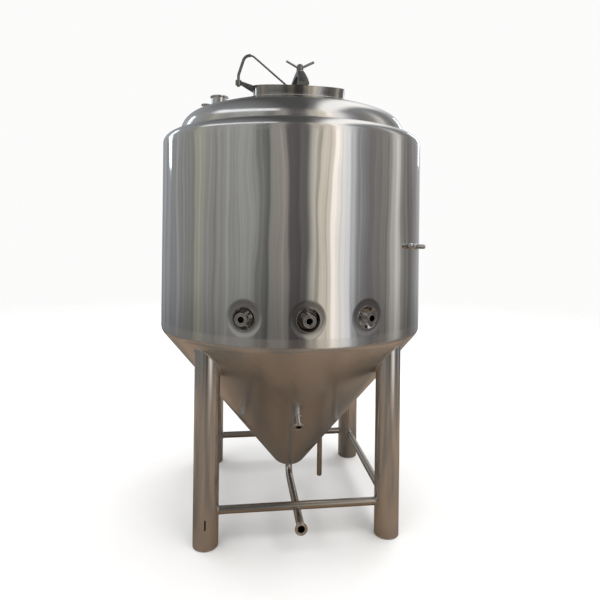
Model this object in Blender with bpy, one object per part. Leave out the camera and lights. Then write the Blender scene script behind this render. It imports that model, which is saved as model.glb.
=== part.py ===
"""Jacketed conical fermenter: insulated steel tank on four tubular legs.

Metres, +Z up, the floor at z = 0, the front of the tank towards -Y.
Every weld joint is left as a gap of GAP between two separate pieces.
"""
from math import acos, atan2, cos, pi, radians, sin, sqrt, tan

import bmesh
import bpy
from mathutils import Matrix, Vector

# ---------------------------------------------------------------- driving sizes
GAP = 0.0004                    # clearance between welded neighbours

OUTER_R = 0.600                 # outside radius of the cladding
SHEET = 0.002                   # cladding thickness
VESSEL_R = 0.524                # outside radius of the inner vessel
VESSEL_WALL = 0.003
JACKET_ENDS = (0.885, 1.560)    # lower and upper end of the cooling jacket
JACKET_DEPTH = 0.012            # how far it stands off the inner shell
JACKET_SKIN = 0.0015
LAGGING_GAP = 0.002             # play between the foam and the steel round it
SHELL_BOTTOM = 0.8314           # lower end of the straight cladding
SHELL_TOP = 1.646               # upper end of the straight cladding
SHOULDER_WIDE = 0.060           # half axes of the rolled shoulder's oval section
SHOULDER_HIGH = 0.044
HEAD_BASE = 1.7004              # where the top head starts to curve
HEAD_KNUCKLE_R = 0.089
HEAD_CROWN_R = 1.308
HEAD_SKIRT = 0.020              # straight skirt below the head's curve

CONE_APEX = 0.0833              # height at which the cone's sides would meet
CONE_TAN = 0.8179               # tangent of the half angle
CONE_ANGLE = atan2(CONE_TAN, 1.0)   # 39.3 degrees
CONE_INSULATION = 0.060         # thickness between inner cone and cladding
CONE_KNUCKLE_R = 0.042          # rounded corner below the straight cladding
TIP_BOTTOM = 0.150              # underside of the cladding's rounded tip
TIP_R = 0.060                   # its corner radius

LEG_OFFSET = 0.372              # leg axes stand at +-LEG_OFFSET in x and y
LEG_R = 0.0508
LEG_WALL = 0.003
LEG_TOP = 0.828
FOOT_T = 0.005                  # thickness of the plate that closes a leg
BRACE_Z = 0.136
BRACE_R = 0.016
BRACE_WALL = 0.002
VENT_SLOT = (0.006, 0.041)      # width and height of the slot in one leg
VENT_SLOT_Z = 0.1045

PORT_Z = 0.933                  # the row of three sunken ports
PORT_STEP = radians(23.0)
PORT_REACH = 0.027              # how far a ferrule stands out of the cladding
PORT_HOLE_R = 0.0456
PORT_TUBE_R = 0.014
PORT_BORE_R = 0.0118

FERRULE_R = 0.02525             # 50.5 mm clamp ferrule
WIDE_FERRULE_R = 0.0455         # 91 mm clamp ferrule
FERRULE_T = 0.0055
FERRULE_BACK = 0.0100           # distance from its face to the plain tube

CONE_PORT_Z = 0.480             # where its axis meets the cladding
CONE_PORT_REACH = 0.048
TUBE_WALL = 0.0015              # of all pipework in the head and the drain

DRAIN_R = 0.016
DRAIN_Z = 0.097                 # height of the level run
DRAIN_FACE = 0.474              # the drain ferrule's face, ahead of the axis
DRAIN_BEND = 0.050
DRAIN_TIP = 0.022               # length of the ferrule at its end

BREATHER_AT = (0.152, 0.012)
BREATHER_R = 0.012
BREATHER_ENDS = (0.068, 0.332)

DOSING_AT = (-0.354, 0.132)
DOSING_FACE = 1.920
DOSING_R = 0.038
CIP_AT = (-0.422, 0.188)
CIP_FACE = 1.8925
CIP_R = 0.0178
FITTING_LENGTH = 0.140          # of the two nozzles in the head
CIP_ARM_R = 0.016
CIP_ARM_Z = 1.665
CIP_DROP = 0.060                # from the arm's level run down to its end
CIP_BEND = 0.045
SPRAY_AT = (-0.060, 0.120)
SPRAY_R = 0.0325

WELL_AZIMUTH = radians(50.0)    # thermometer pocket, clockwise from the front
WELL_Z = 1.199
WELL_R = 0.006
WELL_DEPTH = 0.150              # how far it reaches into the vessel
WELL_REACH = 0.022              # how far the pocket stands out of the cladding
BOSS_R = 0.0130
GLAND_ENDS = (0.016, 0.028)     # gland nut, measured out from the cladding
GLAND_R = 0.0125                # across its corners
PROBE_R = 0.0098
PROBE_TIP = 0.062               # end of the probe head

MANWAY_OFFSET = 0.246           # its axis ahead of the tank's axis
MANWAY_RIM_Z = 1.8786           # height of the rim's centre
MANWAY_TILT = radians(11.5)     # square to the head where it stands
NECK_A, NECK_B = 0.200, 0.150   # half axes of the oval neck
NECK_WALL = 0.005
OPENING = (NECK_A - NECK_WALL, NECK_B - NECK_WALL)
SEAT_DEPTH = 0.070              # from the rim down to the door's seat
DOOR_OVERLAP = 0.014
GASKET_T = 0.008
GASKET_LAPS = (0.010, -0.006)   # its outer and inner edge, beyond the opening
DOOR_T = 0.005
DAVIT_PIVOT = -0.262            # along the oval's long axis
ROD_R = 0.0062                  # davit's post
STAY_R = 0.0042                 # thinner rod from the post's top to the door
STAY_LANDING = 0.230            # from the davit's pivot to the stay's foot
POST_BEND_Z = 0.0405            # the post leans over from here
POST_CORNER = (0.033, 0, 0.1410)
POST_FOOT = 0.006               # how far the post hangs below its sleeve
SLEEVE_R = 0.0130
SLEEVE_BORE = 0.0099
SLEEVE_ENDS = (-0.003, 0.0165)
BUSH_FLANGE = (0.0125, 0.0031)  # radius and thickness
BAR_T = 0.012
BAR_DEPTH = 0.031               # of the davit's bar at the neck
SOCKET_R = 0.0105
SOCKET_H = 0.026
STUD_R = 0.008
STUD_TOP = 0.098
BOSS = (0.020, 0.014, 0.006)    # door's boss: radius, height above, depth below
BLIND = 0.004                   # depth of the stud's seat in the door
WASHER_R = 0.0165
WASHER_ENDS = (0.0684, 0.0714)
NUT_BASE = 0.0720
NUT_H = 0.023
WING_R = 0.0052
WING_ENDS = ((0.0105, 0.011), (0.060, 0.036))   # out from the axis, up from the base

# the tank's axis, set so that the whole object is centred on the origin
AXIS_Y = PORT_REACH / 2

TURNED = 40                     # sides of the big turned shells
SMALL = 20                      # sides of nozzles
SLIM = 16                       # sides of rods and thin tubes
FINE = 12                       # sides of the thinnest rods


# ---------------------------------------------------------------- materials
def steel(name, value, roughness):
    """A plain stainless finish; value is its grey level."""
    material = bpy.data.materials.new(name)
    material.use_nodes = True
    shader = material.node_tree.nodes["Principled BSDF"]
    shader.inputs["Base Color"].default_value = (value, value, value * 0.98, 1)
    shader.inputs["Metallic"].default_value = 1.0
    shader.inputs["Roughness"].default_value = roughness
    return material


def soft(name, colour, roughness):
    """A material that isn't metal."""
    material = bpy.data.materials.new(name)
    material.use_nodes = True
    shader = material.node_tree.nodes["Principled BSDF"]
    shader.inputs["Base Color"].default_value = (*colour, 1)
    shader.inputs["Roughness"].default_value = roughness
    return material


# ---------------------------------------------------------------- mesh helpers
def finish_mesh(name, mesh_data, material):
    """Turn bmesh data into a named, smooth shaded object."""
    bmesh.ops.recalc_face_normals(mesh_data, faces=mesh_data.faces)
    mesh = bpy.data.meshes.new(name)
    mesh_data.to_mesh(mesh)
    mesh_data.free()
    mesh.shade_smooth()
    mesh.set_sharp_from_angle(angle=radians(30))
    mesh.materials.append(material)
    thing = bpy.data.objects.new(name, mesh)
    bpy.context.collection.objects.link(thing)
    return thing


def lofted(name, rings, sides, material, closed=True):
    """Loft oval rings (half axis a, half axis b, height).

    A ring of zero size is a pole. A closed loft joins its last ring to its
    first, which makes a tube or, between two poles, a bowl with a thickness;
    an open one starts and ends at a pole.
    """
    data = bmesh.new()
    loops = []
    for a, b, height in rings:
        if a == 0:
            loops.append([data.verts.new((0, 0, height))])
            continue
        turns = [2 * pi * k / sides for k in range(sides)]
        loops.append([data.verts.new((a * cos(t), b * sin(t), height)) for t in turns])
    pairs = list(zip(loops, loops[1:]))
    if closed:
        pairs.append((loops[-1], loops[0]))
    for low, high in pairs:
        if len(low) == 1 and len(high) == 1:
            continue
        for k in range(sides):
            n = (k + 1) % sides
            corners = [low[k % len(low)], low[n % len(low)],
                       high[n % len(high)], high[k % len(high)]]
            data.faces.new(list(dict.fromkeys(corners)))
    return finish_mesh(name, data, material)


def turned(name, profile, sides, material, closed=True):
    """Turn a profile of (radius, height) points about Z."""
    return lofted(name, [(r, r, z) for r, z in profile], sides, material, closed)


def swept(name, path, outer, inner, sides, material):
    """A round rod, or a tube open at both ends where inner isn't 0."""
    data = bmesh.new()
    points = [Vector(p) for p in path]
    side = (points[1] - points[0]).orthogonal().normalized()
    walls = [outer] if inner == 0 else [outer, inner]
    rings = [[] for _ in walls]
    for k, point in enumerate(points):
        ahead = points[min(k + 1, len(points) - 1)] - point
        behind = point - points[max(k - 1, 0)]
        along = (ahead.normalized() + behind.normalized()).normalized()
        side = (side - along * side.dot(along)).normalized()
        other = along.cross(side)
        # a mitred ring is stretched so that the rod keeps its thickness
        bend = ahead.angle(behind) if 0 < k < len(points) - 1 else 0.0
        reach = 1 / cos(bend / 2)
        out = (ahead.normalized() - behind.normalized())
        out = out.normalized() if out.length > 1e-6 else other
        for wall, ring in zip(walls, rings):
            turn = []
            for n in range(sides):
                t = 2 * pi * n / sides
                arm = side * (wall * cos(t)) + other * (wall * sin(t))
                arm += out * (arm.dot(out) * (reach - 1))
                turn.append(data.verts.new(point + arm))
            ring.append(turn)
    for ring in rings:
        for low, high in zip(ring, ring[1:]):
            for n in range(sides):
                m = (n + 1) % sides
                data.faces.new([low[n], low[m], high[m], high[n]])
    for end in (0, -1):
        if inner == 0:
            data.faces.new(rings[0][end])
            continue
        for n in range(sides):
            m = (n + 1) % sides
            data.faces.new([rings[0][end][n], rings[0][end][m],
                            rings[1][end][m], rings[1][end][n]])
    return finish_mesh(name, data, material)


def sections(name, stations, material):
    """Loft rectangles along Y: (y, low z, high z, half width in x)."""
    data = bmesh.new()
    loops = []
    for y, low, high, half in stations:
        corners = [(-half, low), (half, low), (half, high), (-half, high)]
        loops.append([data.verts.new((x, y, z)) for x, z in corners])
    for near, far in zip(loops, loops[1:]):
        for k in range(4):
            n = (k + 1) % 4
            data.faces.new([near[k], near[n], far[n], far[k]])
    data.faces.new(loops[0])
    data.faces.new(loops[-1])
    return finish_mesh(name, data, material)


def arc(centre, radius, start, end, count):
    """Points on an arc from one angle to another, both ends included."""
    steps = [start + (end - start) * k / count for k in range(count + 1)]
    return [(centre[0] + radius * cos(t), centre[1] + radius * sin(t)) for t in steps]


def rounded_path(corners, radius, count=5):
    """A path through corner points with its inner corners rounded off."""
    points = [Vector(c) for c in corners]
    path = [points[0]]
    for before, corner, after in zip(points, points[1:], points[2:]):
        back = (before - corner).normalized()
        ahead = (after - corner).normalized()
        half = back.angle(ahead) / 2
        middle = corner + (back + ahead).normalized() * (radius / sin(half))
        start = corner + back * (radius / tan(half)) - middle
        sweep = pi - 2 * half
        axis = start.cross(-back).normalized()
        for k in range(count + 1):
            path.append(middle + Matrix.Rotation(sweep * k / count, 3, axis) @ start)
    path.append(points[-1])
    return path


def cylinder(name, radius, low, high, sides, material):
    """A plain solid cylinder along Z."""
    profile = [(0, low), (radius, low), (radius, high), (0, high)]
    return turned(name, profile, sides, material, closed=False)


# ---------------------------------------------------------------- placing
def empty(name, matrix, parent=None):
    """A frame that pieces are hung from."""
    frame = bpy.data.objects.new(name, None)
    bpy.context.collection.objects.link(frame)
    frame.parent = parent
    frame.matrix_basis = matrix
    return frame


def put(thing, parent, matrix=None):
    """Hang a piece from a frame."""
    thing.parent = parent
    if matrix is not None:
        thing.matrix_basis = matrix
    return thing


def facing(position, direction):
    """Place local Z along a direction, with local X kept level."""
    along = Vector(direction).normalized()
    level = Vector((0, 0, 1)).cross(along)
    level = level.normalized() if level.length > 1e-6 else Vector((1, 0, 0))
    turn = Matrix((level, along.cross(level), along)).transposed().to_4x4()
    return Matrix.Translation(position) @ turn


def cut(piece, cutters):
    """Subtract cutters, which stay in the scene as hidden guides."""
    for cutter in cutters:
        cutter.hide_render = True
        cutter.display_type = "WIRE"
        modifier = piece.modifiers.new("cut_" + cutter.name, "BOOLEAN")
        modifier.operation = "DIFFERENCE"
        modifier.object = cutter


def join(piece, others):
    """Fuse guides into a piece."""
    for other in others:
        other.hide_render = True
        other.display_type = "WIRE"
        modifier = piece.modifiers.new("join_" + other.name, "BOOLEAN")
        modifier.operation = "UNION"
        modifier.object = other


# ---------------------------------------------------------------- outlines
def cone_r(z, inset=0.0):
    """Radius of the cone's cladding, or of a cone that lies inside it."""
    return CONE_TAN * (z - CONE_APEX) - inset / cos(CONE_ANGLE)


def cone_z(r, inset=0.0):
    """Height at which that cone has radius r."""
    return CONE_APEX + (r + inset / cos(CONE_ANGLE)) / CONE_TAN


def head_curve(inset):
    """Outline of the top head from its skirt to its crown."""
    knuckle_at = VESSEL_R - HEAD_KNUCKLE_R
    drop = sqrt((HEAD_CROWN_R - HEAD_KNUCKLE_R) ** 2 - knuckle_at ** 2)
    centre = HEAD_BASE - drop
    turn = atan2(drop, knuckle_at)
    knuckle = arc((knuckle_at, HEAD_BASE), HEAD_KNUCKLE_R - inset, 0, turn, 3)
    crown = arc((0, centre), HEAD_CROWN_R - inset, turn, pi / 2, 4)
    return knuckle + crown[1:-1] + [(0, crown[-1][1])]


def shoulder_curve(inset):
    """Rolled shoulder, from the top of the straight cladding in to the head."""
    wide, high = SHOULDER_WIDE - inset, SHOULDER_HIGH - inset
    centre = OUTER_R - SHOULDER_WIDE
    end = acos((VESSEL_R + GAP - centre) / wide)
    turns = [end * k / 5 for k in range(6)]
    return [(centre + wide * cos(t), SHELL_TOP + GAP + high * sin(t)) for t in turns]


def tip_curve(inset):
    """Outline of the cone cladding's rounded tip, from the cone inwards."""
    radius = TIP_R - inset
    height = TIP_BOTTOM + TIP_R
    middle = cone_r(height) - TIP_R / cos(CONE_ANGLE)
    return arc((middle, height), radius, -CONE_ANGLE, -pi / 2, 4)


def knuckle_curve(inset):
    """Rounded corner between straight cladding and cone, upper end first."""
    height = SHELL_BOTTOM - GAP
    return arc((OUTER_R - CONE_KNUCKLE_R, height), CONE_KNUCKLE_R - inset,
               0, -CONE_ANGLE, 3)


# ---------------------------------------------------------------- vessel
def build_cladding(root, mats):
    """Outer skin: straight shell, rolled shoulder and cone."""
    inside = OUTER_R - SHEET
    shell = turned("outer_shell", [(OUTER_R, SHELL_BOTTOM), (OUTER_R, SHELL_TOP),
                                   (inside, SHELL_TOP), (inside, SHELL_BOTTOM)],
                   TURNED, mats["skin"])
    put(shell, root)

    profile = shoulder_curve(0) + shoulder_curve(SHEET)[::-1]
    put(turned("shoulder_ring", profile, TURNED, mats["brushed"]), root)

    outer = knuckle_curve(0) + tip_curve(0)
    inner = knuckle_curve(SHEET) + tip_curve(SHEET)
    hole = DRAIN_R + GAP
    profile = outer + [(hole, outer[-1][1]), (hole, inner[-1][1])] + inner[::-1]
    cone = turned("cone_cladding", profile, TURNED, mats["skin"])
    put(cone, root)
    return shell, cone


def build_vessel(root, mats):
    """Inner vessel: top head, shell and cone."""
    inside = VESSEL_R - VESSEL_WALL
    skirt = HEAD_BASE - HEAD_SKIRT
    profile = [(VESSEL_R, skirt)] + head_curve(0)
    profile += head_curve(VESSEL_WALL)[::-1] + [(inside, skirt)]
    head = turned("top_head", profile, TURNED, mats["polished"])
    put(head, root)

    corner = cone_z(VESSEL_R, CONE_INSULATION)
    low = corner + GAP
    shell = turned("inner_shell", [(VESSEL_R, low), (VESSEL_R, skirt - GAP),
                                   (inside, skirt - GAP), (inside, low)],
                   TURNED, mats["mill"])
    put(shell, root)

    wall = CONE_INSULATION + VESSEL_WALL
    outlet = DRAIN_R + GAP
    foot = cone_z(outlet + VESSEL_WALL, CONE_INSULATION)
    profile = [(VESSEL_R, corner), (cone_r(foot, CONE_INSULATION), foot), (outlet, foot),
               (outlet, cone_z(outlet, wall)), (cone_r(corner, wall), corner)]
    cone = turned("inner_cone", profile, TURNED, mats["mill"])
    put(cone, root)
    return head, shell, cone


def build_lagging(root, mats):
    """Cooling jacket round the inner shell and the foam between the skins."""
    low, high = JACKET_ENDS
    jacket_r, lip = VESSEL_R + JACKET_DEPTH, VESSEL_R + GAP
    inside = jacket_r - JACKET_SKIN
    profile = [(lip, low), (jacket_r, low), (jacket_r, high), (lip, high),
               (lip, high - JACKET_SKIN), (inside, high - JACKET_SKIN),
               (inside, low + JACKET_SKIN), (lip, low + JACKET_SKIN)]
    jacket = turned("cooling_jacket", profile, TURNED, mats["mill"])
    put(jacket, root)

    inner, outer = jacket_r + LAGGING_GAP, OUTER_R - SHEET - LAGGING_GAP
    bottom, top = SHELL_BOTTOM + 0.003, SHELL_TOP - 0.003
    foam = turned("insulation_shell", [(inner, bottom), (outer, bottom),
                                       (outer, top), (inner, top)],
                  TURNED, mats["foam"])
    put(foam, root)

    near, far = SHEET + LAGGING_GAP, CONE_INSULATION - LAGGING_GAP
    ceiling = SHELL_BOTTOM - LAGGING_GAP
    eye = VESSEL_R + LAGGING_GAP
    rim = OUTER_R - SHEET - 0.003
    hole = DRAIN_R + 0.006
    floor = TIP_BOTTOM + SHEET + 0.004
    profile = [(eye, ceiling), (rim, ceiling), (rim, cone_z(rim, near)),
               (cone_r(floor + 0.030, near) - 0.006, floor + 0.030), (hole + 0.006, floor),
               (hole, floor), (hole, cone_z(hole, far)), (eye, cone_z(eye, far))]
    cone_foam = turned("insulation_cone", profile, TURNED, mats["foam"])
    put(cone_foam, root)
    return jacket, foam, cone_foam


# ---------------------------------------------------------------- pipework
def ferrule(name, face, length, tube, bore, flange, sides, material):
    """Tube with a clamp ferrule; its face is at height face, looking up."""
    profile = [(bore, face - length), (tube, face - length), (tube, face - FERRULE_BACK),
               (flange, face - FERRULE_T), (flange, face), (bore, face)]
    return turned(name, profile, sides, material)


def build_ports(root, mats, shell, foam, jacket, vessel):
    """Row of three sunken ports at the front of the shell."""
    for k, side in enumerate(("left", "centre", "right")):
        turn = (k - 1) * PORT_STEP
        out = Vector((sin(turn), -cos(turn), 0))
        seat = facing(out * OUTER_R + Vector((0, 0, PORT_Z)), out)
        tube = PORT_TUBE_R + GAP
        lip = PORT_HOLE_R - GAP
        profile = [(tube, -0.020), (0.0300, -0.018), (lip, -0.006), (lip, 0.0012),
                   (0.0425, 0.0012), (0.0300, -0.016), (tube, -0.018)]
        put(turned("port_collar_" + side, profile, SMALL, mats["brushed"]), root, seat)

        # the outer two feed the jacket, the middle one reaches the vessel
        root_r = VESSEL_R - 0.012 if side == "centre" else VESSEL_R + JACKET_DEPTH + GAP
        nozzle = ferrule("port_nozzle_" + side, PORT_REACH, OUTER_R + PORT_REACH - root_r,
                         PORT_TUBE_R, PORT_BORE_R, FERRULE_R, SMALL, mats["polished"])
        put(nozzle, root, seat)

        wide = cylinder("guide_port_" + side, PORT_HOLE_R, -0.068, 0.02, SMALL, mats["skin"])
        put(wide, root, seat)
        cut(shell, [wide])
        cut(foam, [wide])
        bore = tube if side == "centre" else PORT_BORE_R
        slim = cylinder("guide_tube_" + side, bore, -0.095, -0.060, SMALL, mats["skin"])
        put(slim, root, seat)
        cut(jacket, [slim])
        if side == "centre":
            cut(vessel, [slim])


def build_cone_port(root, mats, cladding, foam, cone):
    """Nozzle low on the front of the cone, square to its side."""
    out = Vector((0, -cos(CONE_ANGLE), -sin(CONE_ANGLE)))
    seat = facing((0, -cone_r(CONE_PORT_Z), CONE_PORT_Z), out)
    depth = CONE_INSULATION + 0.010
    nozzle = ferrule("cone_nozzle", CONE_PORT_REACH, CONE_PORT_REACH + depth,
                     PORT_TUBE_R, PORT_BORE_R, FERRULE_R, SMALL, mats["polished"])
    put(nozzle, root, seat)
    guide = cylinder("guide_cone_port", PORT_TUBE_R + GAP, -0.09, 0.02, SMALL, mats["skin"])
    put(guide, root, seat)
    for piece in (cladding, foam, cone):
        cut(piece, [guide])


def build_drain(root, mats):
    """Bottom outlet: a bend under the tip and a level run to the front."""
    top = cone_z(DRAIN_R, CONE_INSULATION) + 0.002
    end = DRAIN_FACE - DRAIN_TIP
    path = rounded_path([(0, 0, top), (0, 0, DRAIN_Z), (0, -end, DRAIN_Z)], DRAIN_BEND, 4)
    pipe = swept("drain_pipe", path, DRAIN_R, DRAIN_R - TUBE_WALL, SMALL, mats["polished"])
    put(pipe, root)
    length = DRAIN_FACE - end - GAP
    tip = ferrule("drain_ferrule", 0, length, DRAIN_R, DRAIN_R - TUBE_WALL, FERRULE_R,
                  SMALL, mats["polished"])
    put(tip, root, facing((0, -DRAIN_FACE, DRAIN_Z), (0, -1, 0)))


def build_breather(root, mats, cladding, foam):
    """Thin pipe that lets the lagging space breathe and drip."""
    low, high = BREATHER_ENDS
    bore, tip = BREATHER_R - 0.002, BREATHER_R - 0.0012
    profile = [(tip, low), (BREATHER_R, low + 0.006), (BREATHER_R, high), (bore, high),
               (bore, low)]
    seat = Matrix.Translation((*BREATHER_AT, 0))
    put(turned("breather_pipe", profile, SMALL, mats["polished"]), root, seat)
    guide = cylinder("guide_breather", BREATHER_R + GAP, 0.1, high + 0.004, SMALL,
                     mats["skin"])
    put(guide, root, seat)
    cut(cladding, [guide])
    cut(foam, [guide])


def build_head_fittings(root, mats, head):
    """Dosing nozzle, cleaning nozzle with its arm and spray ball."""
    fittings = (("dosing_nozzle", DOSING_AT, DOSING_FACE, DOSING_R, WIDE_FERRULE_R),
                ("cip_nozzle", CIP_AT, CIP_FACE, CIP_R, FERRULE_R))
    for name, at, face, tube, flange in fittings:
        seat = Matrix.Translation((*at, 0))
        nozzle = ferrule(name, face, FITTING_LENGTH, tube, tube - TUBE_WALL, flange, SMALL,
                         mats["polished"])
        put(nozzle, root, seat)
        guide = cylinder("guide_" + name, tube + GAP, 1.7, 2.0, SMALL, mats["skin"])
        put(guide, root, seat)
        cut(head, [guide])

    path = rounded_path([(*CIP_AT, CIP_FACE - 0.004), (*CIP_AT, CIP_ARM_Z),
                         (*SPRAY_AT, CIP_ARM_Z), (*SPRAY_AT, CIP_ARM_Z - CIP_DROP)],
                        CIP_BEND, 3)
    put(swept("cip_arm", path, CIP_ARM_R, CIP_ARM_R - TUBE_WALL, FINE, mats["mill"]), root)

    # hollow ball, open at its neck
    neck = CIP_ARM_R - TUBE_WALL
    hollow = SPRAY_R - TUBE_WALL
    outer = arc((0, 0), SPRAY_R, -pi / 2, acos(neck / SPRAY_R), 6)
    inner = arc((0, 0), hollow, acos((neck - TUBE_WALL) / hollow), -pi / 2, 6)
    outer[0], inner[-1] = (0, -SPRAY_R), (0, -hollow)
    ball = turned("spray_ball", outer + inner, SLIM, mats["mill"])
    drop = CIP_ARM_Z - CIP_DROP - GAP - outer[-1][1]
    put(ball, root, Matrix.Translation((*SPRAY_AT, drop)))


def build_thermowell(root, mats, shell, foam, jacket, vessel):
    """Thermometer pocket on the right, with its gland and probe head."""
    out = Vector((sin(WELL_AZIMUTH), -cos(WELL_AZIMUTH), 0))
    seat = facing(out * OUTER_R + Vector((0, 0, WELL_Z)), out)
    deep = -(OUTER_R - VESSEL_R) - WELL_DEPTH
    bore, hole = WELL_R - TUBE_WALL, WELL_R + GAP
    profile = [(0, deep), (WELL_R, deep), (WELL_R, WELL_REACH), (bore, WELL_REACH),
               (bore, deep + 0.002), (0, deep + 0.002)]
    put(turned("thermowell", profile, SLIM, mats["polished"]), root, seat)
    profile = [(hole, -0.006), (BOSS_R, -0.006), (BOSS_R, 0.006), (0.0105, 0.010),
               (hole, 0.010)]
    put(turned("thermowell_boss", profile, SMALL, mats["polished"]), root, seat)

    # the hexagonal bore clears the round pocket
    eye = hole / cos(pi / 6)
    low, high = GLAND_ENDS
    profile = [(eye, low), (GLAND_R, low), (GLAND_R, high - 0.002),
               (GLAND_R - 0.0015, high), (eye, high)]
    put(turned("gland_nut", profile, 6, mats["polished"]), root, seat)
    end = PROBE_TIP - PROBE_R
    probe = [(0, high + GAP), (PROBE_R, high + GAP)]
    probe += arc((0, end), PROBE_R, 0, pi / 2, 4)[:-1] + [(0, PROBE_TIP)]
    put(turned("probe_head", probe, SMALL, mats["polished"], closed=False), root, seat)

    wide = cylinder("guide_boss", BOSS_R + GAP, -0.068, 0.02, SMALL, mats["skin"])
    slim = cylinder("guide_well", hole, -0.10, -0.06, SLIM, mats["skin"])
    for guide, pieces in ((wide, (shell, foam)), (slim, (jacket, vessel))):
        put(guide, root, seat)
        for piece in pieces:
            cut(piece, [guide])


# ---------------------------------------------------------------- stand
def build_stand(root, mats, cladding, foam):
    """Four legs with closed feet, joined by a ring of braces."""
    # the legs are coped to the underside of the inner vessel
    clear, narrow, over = 2 * GAP, 0.30, LEG_TOP + 0.02
    low = cone_z(VESSEL_R + clear, CONE_INSULATION)
    bottom = cone_z(narrow, CONE_INSULATION - clear)
    profile = [(0, bottom), (narrow, bottom), (VESSEL_R + clear, low - clear),
               (VESSEL_R + clear, over), (0, over)]
    vessel = turned("guide_vessel", profile, 2 * TURNED, mats["skin"], closed=False)
    put(vessel, root)

    corners = {"front_left": (-1, -1), "front_right": (1, -1),
               "rear_right": (1, 1), "rear_left": (-1, 1)}
    guides = {}
    for name, (sx, sy) in corners.items():
        seat = Matrix.Translation((sx * LEG_OFFSET, sy * LEG_OFFSET, 0))
        bore = LEG_R - LEG_WALL
        leg = turned("leg_" + name, [(LEG_R, FOOT_T + GAP), (LEG_R, LEG_TOP),
                                     (bore, LEG_TOP), (bore, FOOT_T + GAP)],
                     SMALL, mats["leg"])
        put(leg, root, seat)
        cut(leg, [vessel])
        edge = 0.002
        foot = turned("foot_" + name, [(0, 0), (LEG_R - edge, 0), (LEG_R, edge),
                                       (LEG_R, FOOT_T), (0, FOOT_T)],
                      SMALL, mats["leg"], closed=False)
        put(foot, root, seat)
        guide = cylinder("guide_leg_" + name, LEG_R + GAP, 0.0, LEG_TOP + 0.01, SMALL,
                         mats["skin"])
        put(guide, root, seat)
        guides[name] = guide
        cut(cladding, [guide])
        cut(foam, [guide])
        if name == "front_left":
            cut_vent(root, mats, leg, seat)

    order = list(corners)
    names = ("front", "right", "rear", "left")
    for name, first, second in zip(names, order, order[1:] + order[:1]):
        start = Vector((*corners[first], 0)) * LEG_OFFSET
        end = Vector((*corners[second], 0)) * LEG_OFFSET
        lift = Vector((0, 0, BRACE_Z))
        brace = swept("brace_" + name, [start + lift, (start + end) / 2 + lift, end + lift],
                      BRACE_R, BRACE_R - BRACE_WALL, SLIM, mats["leg"])
        put(brace, root)
        cut(brace, [guides[first], guides[second]])


def cut_vent(root, mats, leg, seat):
    """Upright slot low in one leg, facing forward."""
    width, height = VENT_SLOT
    opening = (VENT_SLOT_Z - height / 2, VENT_SLOT_Z + height / 2, width / 2)
    stations = [(-LEG_R - 0.01, *opening), (-LEG_R + 0.01, *opening)]
    guide = sections("guide_vent", stations, mats["skin"])
    put(guide, root, seat)
    cut(leg, [guide])


# ---------------------------------------------------------------- manway
def build_manway(root, mats, head):
    """Oval manway with an inward opening door, yoke and davit.

    Its frame has X along the oval's long axis and Z out through the rim.
    """
    tilt = Matrix.Rotation(MANWAY_TILT, 4, "X")
    frame = empty("manway_frame", Matrix.Translation((0, -MANWAY_OFFSET, MANWAY_RIM_Z)) @ tilt,
                  root)
    rings = [(NECK_A, NECK_B, -SEAT_DEPTH), (NECK_A, NECK_B, 0), (*OPENING, 0),
             (*OPENING, -SEAT_DEPTH)]
    put(lofted("manway_neck", rings, TURNED, mats["polished"]), frame)
    hole = lofted("guide_neck", [(0, 0, -0.2), (NECK_A + GAP, NECK_B + GAP, -0.2),
                                 (NECK_A + GAP, NECK_B + GAP, 0.1), (0, 0, 0.1)],
                  TURNED, mats["skin"], closed=False)
    put(hole, frame)
    cut(head, [hole])

    pivot = empty("davit_axis", Matrix.Translation((DAVIT_PIVOT, 0, 0)), frame)
    build_bracket(frame, mats)
    build_davit(pivot, mats)
    build_door(pivot, mats)
    build_yoke(frame, mats)


def build_bracket(frame, mats):
    """Bar from the neck's left end with a sleeve at its tip."""
    low, high = SLEEVE_ENDS
    profile = [(SLEEVE_BORE, low), (SLEEVE_R, low), (SLEEVE_R, high), (SLEEVE_BORE, high)]
    sleeve = turned("davit_bracket", profile, SMALL, mats["dark"])
    put(sleeve, frame, Matrix.Translation((DAVIT_PIVOT, 0, 0)))
    # the bar rises outwards from the neck; built along Y and turned onto X
    start, end = NECK_A + GAP, -DAVIT_PIVOT - SLEEVE_R + 0.002
    stations = [(start, -BAR_DEPTH, 0.0, BAR_T / 2),
                (end, low + 0.001, high - 0.001, BAR_T / 2)]
    bar = sections("guide_bar", stations, mats["dark"])
    put(bar, frame, Matrix.Rotation(pi / 2, 4, "Z"))
    join(sleeve, [bar])


def build_davit(pivot, mats):
    """Bush, bent post, thinner stay and the stay's socket on the door."""
    low, high = SLEEVE_ENDS
    bore, liner = ROD_R + 0.0006, SLEEVE_BORE - GAP
    flange, flange_t = BUSH_FLANGE
    seat = high + GAP
    profile = [(bore, low - 0.002), (liner, low - 0.002), (liner, seat), (flange, seat),
               (flange, seat + flange_t), (bore, seat + flange_t)]
    put(turned("davit_bush", profile, SMALL, mats["bronze"]), pivot)

    door_top = -SEAT_DEPTH - GASKET_T
    post, stay = davit_paths(door_top)
    put(swept("davit_arm", post, ROD_R, 0, SLIM, mats["dark"]), pivot)
    put(swept("davit_stay", stay, STAY_R, 0, FINE, mats["dark"]), pivot)
    hole, socket_top = STAY_R + GAP, door_top + SOCKET_H
    profile = [(hole, door_top), (SOCKET_R, door_top), (SOCKET_R, socket_top),
               (hole, socket_top)]
    socket = turned("davit_socket", profile, SMALL, mats["polished"])
    put(socket, pivot, Matrix.Translation((STAY_LANDING, 0, 0)))


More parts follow.
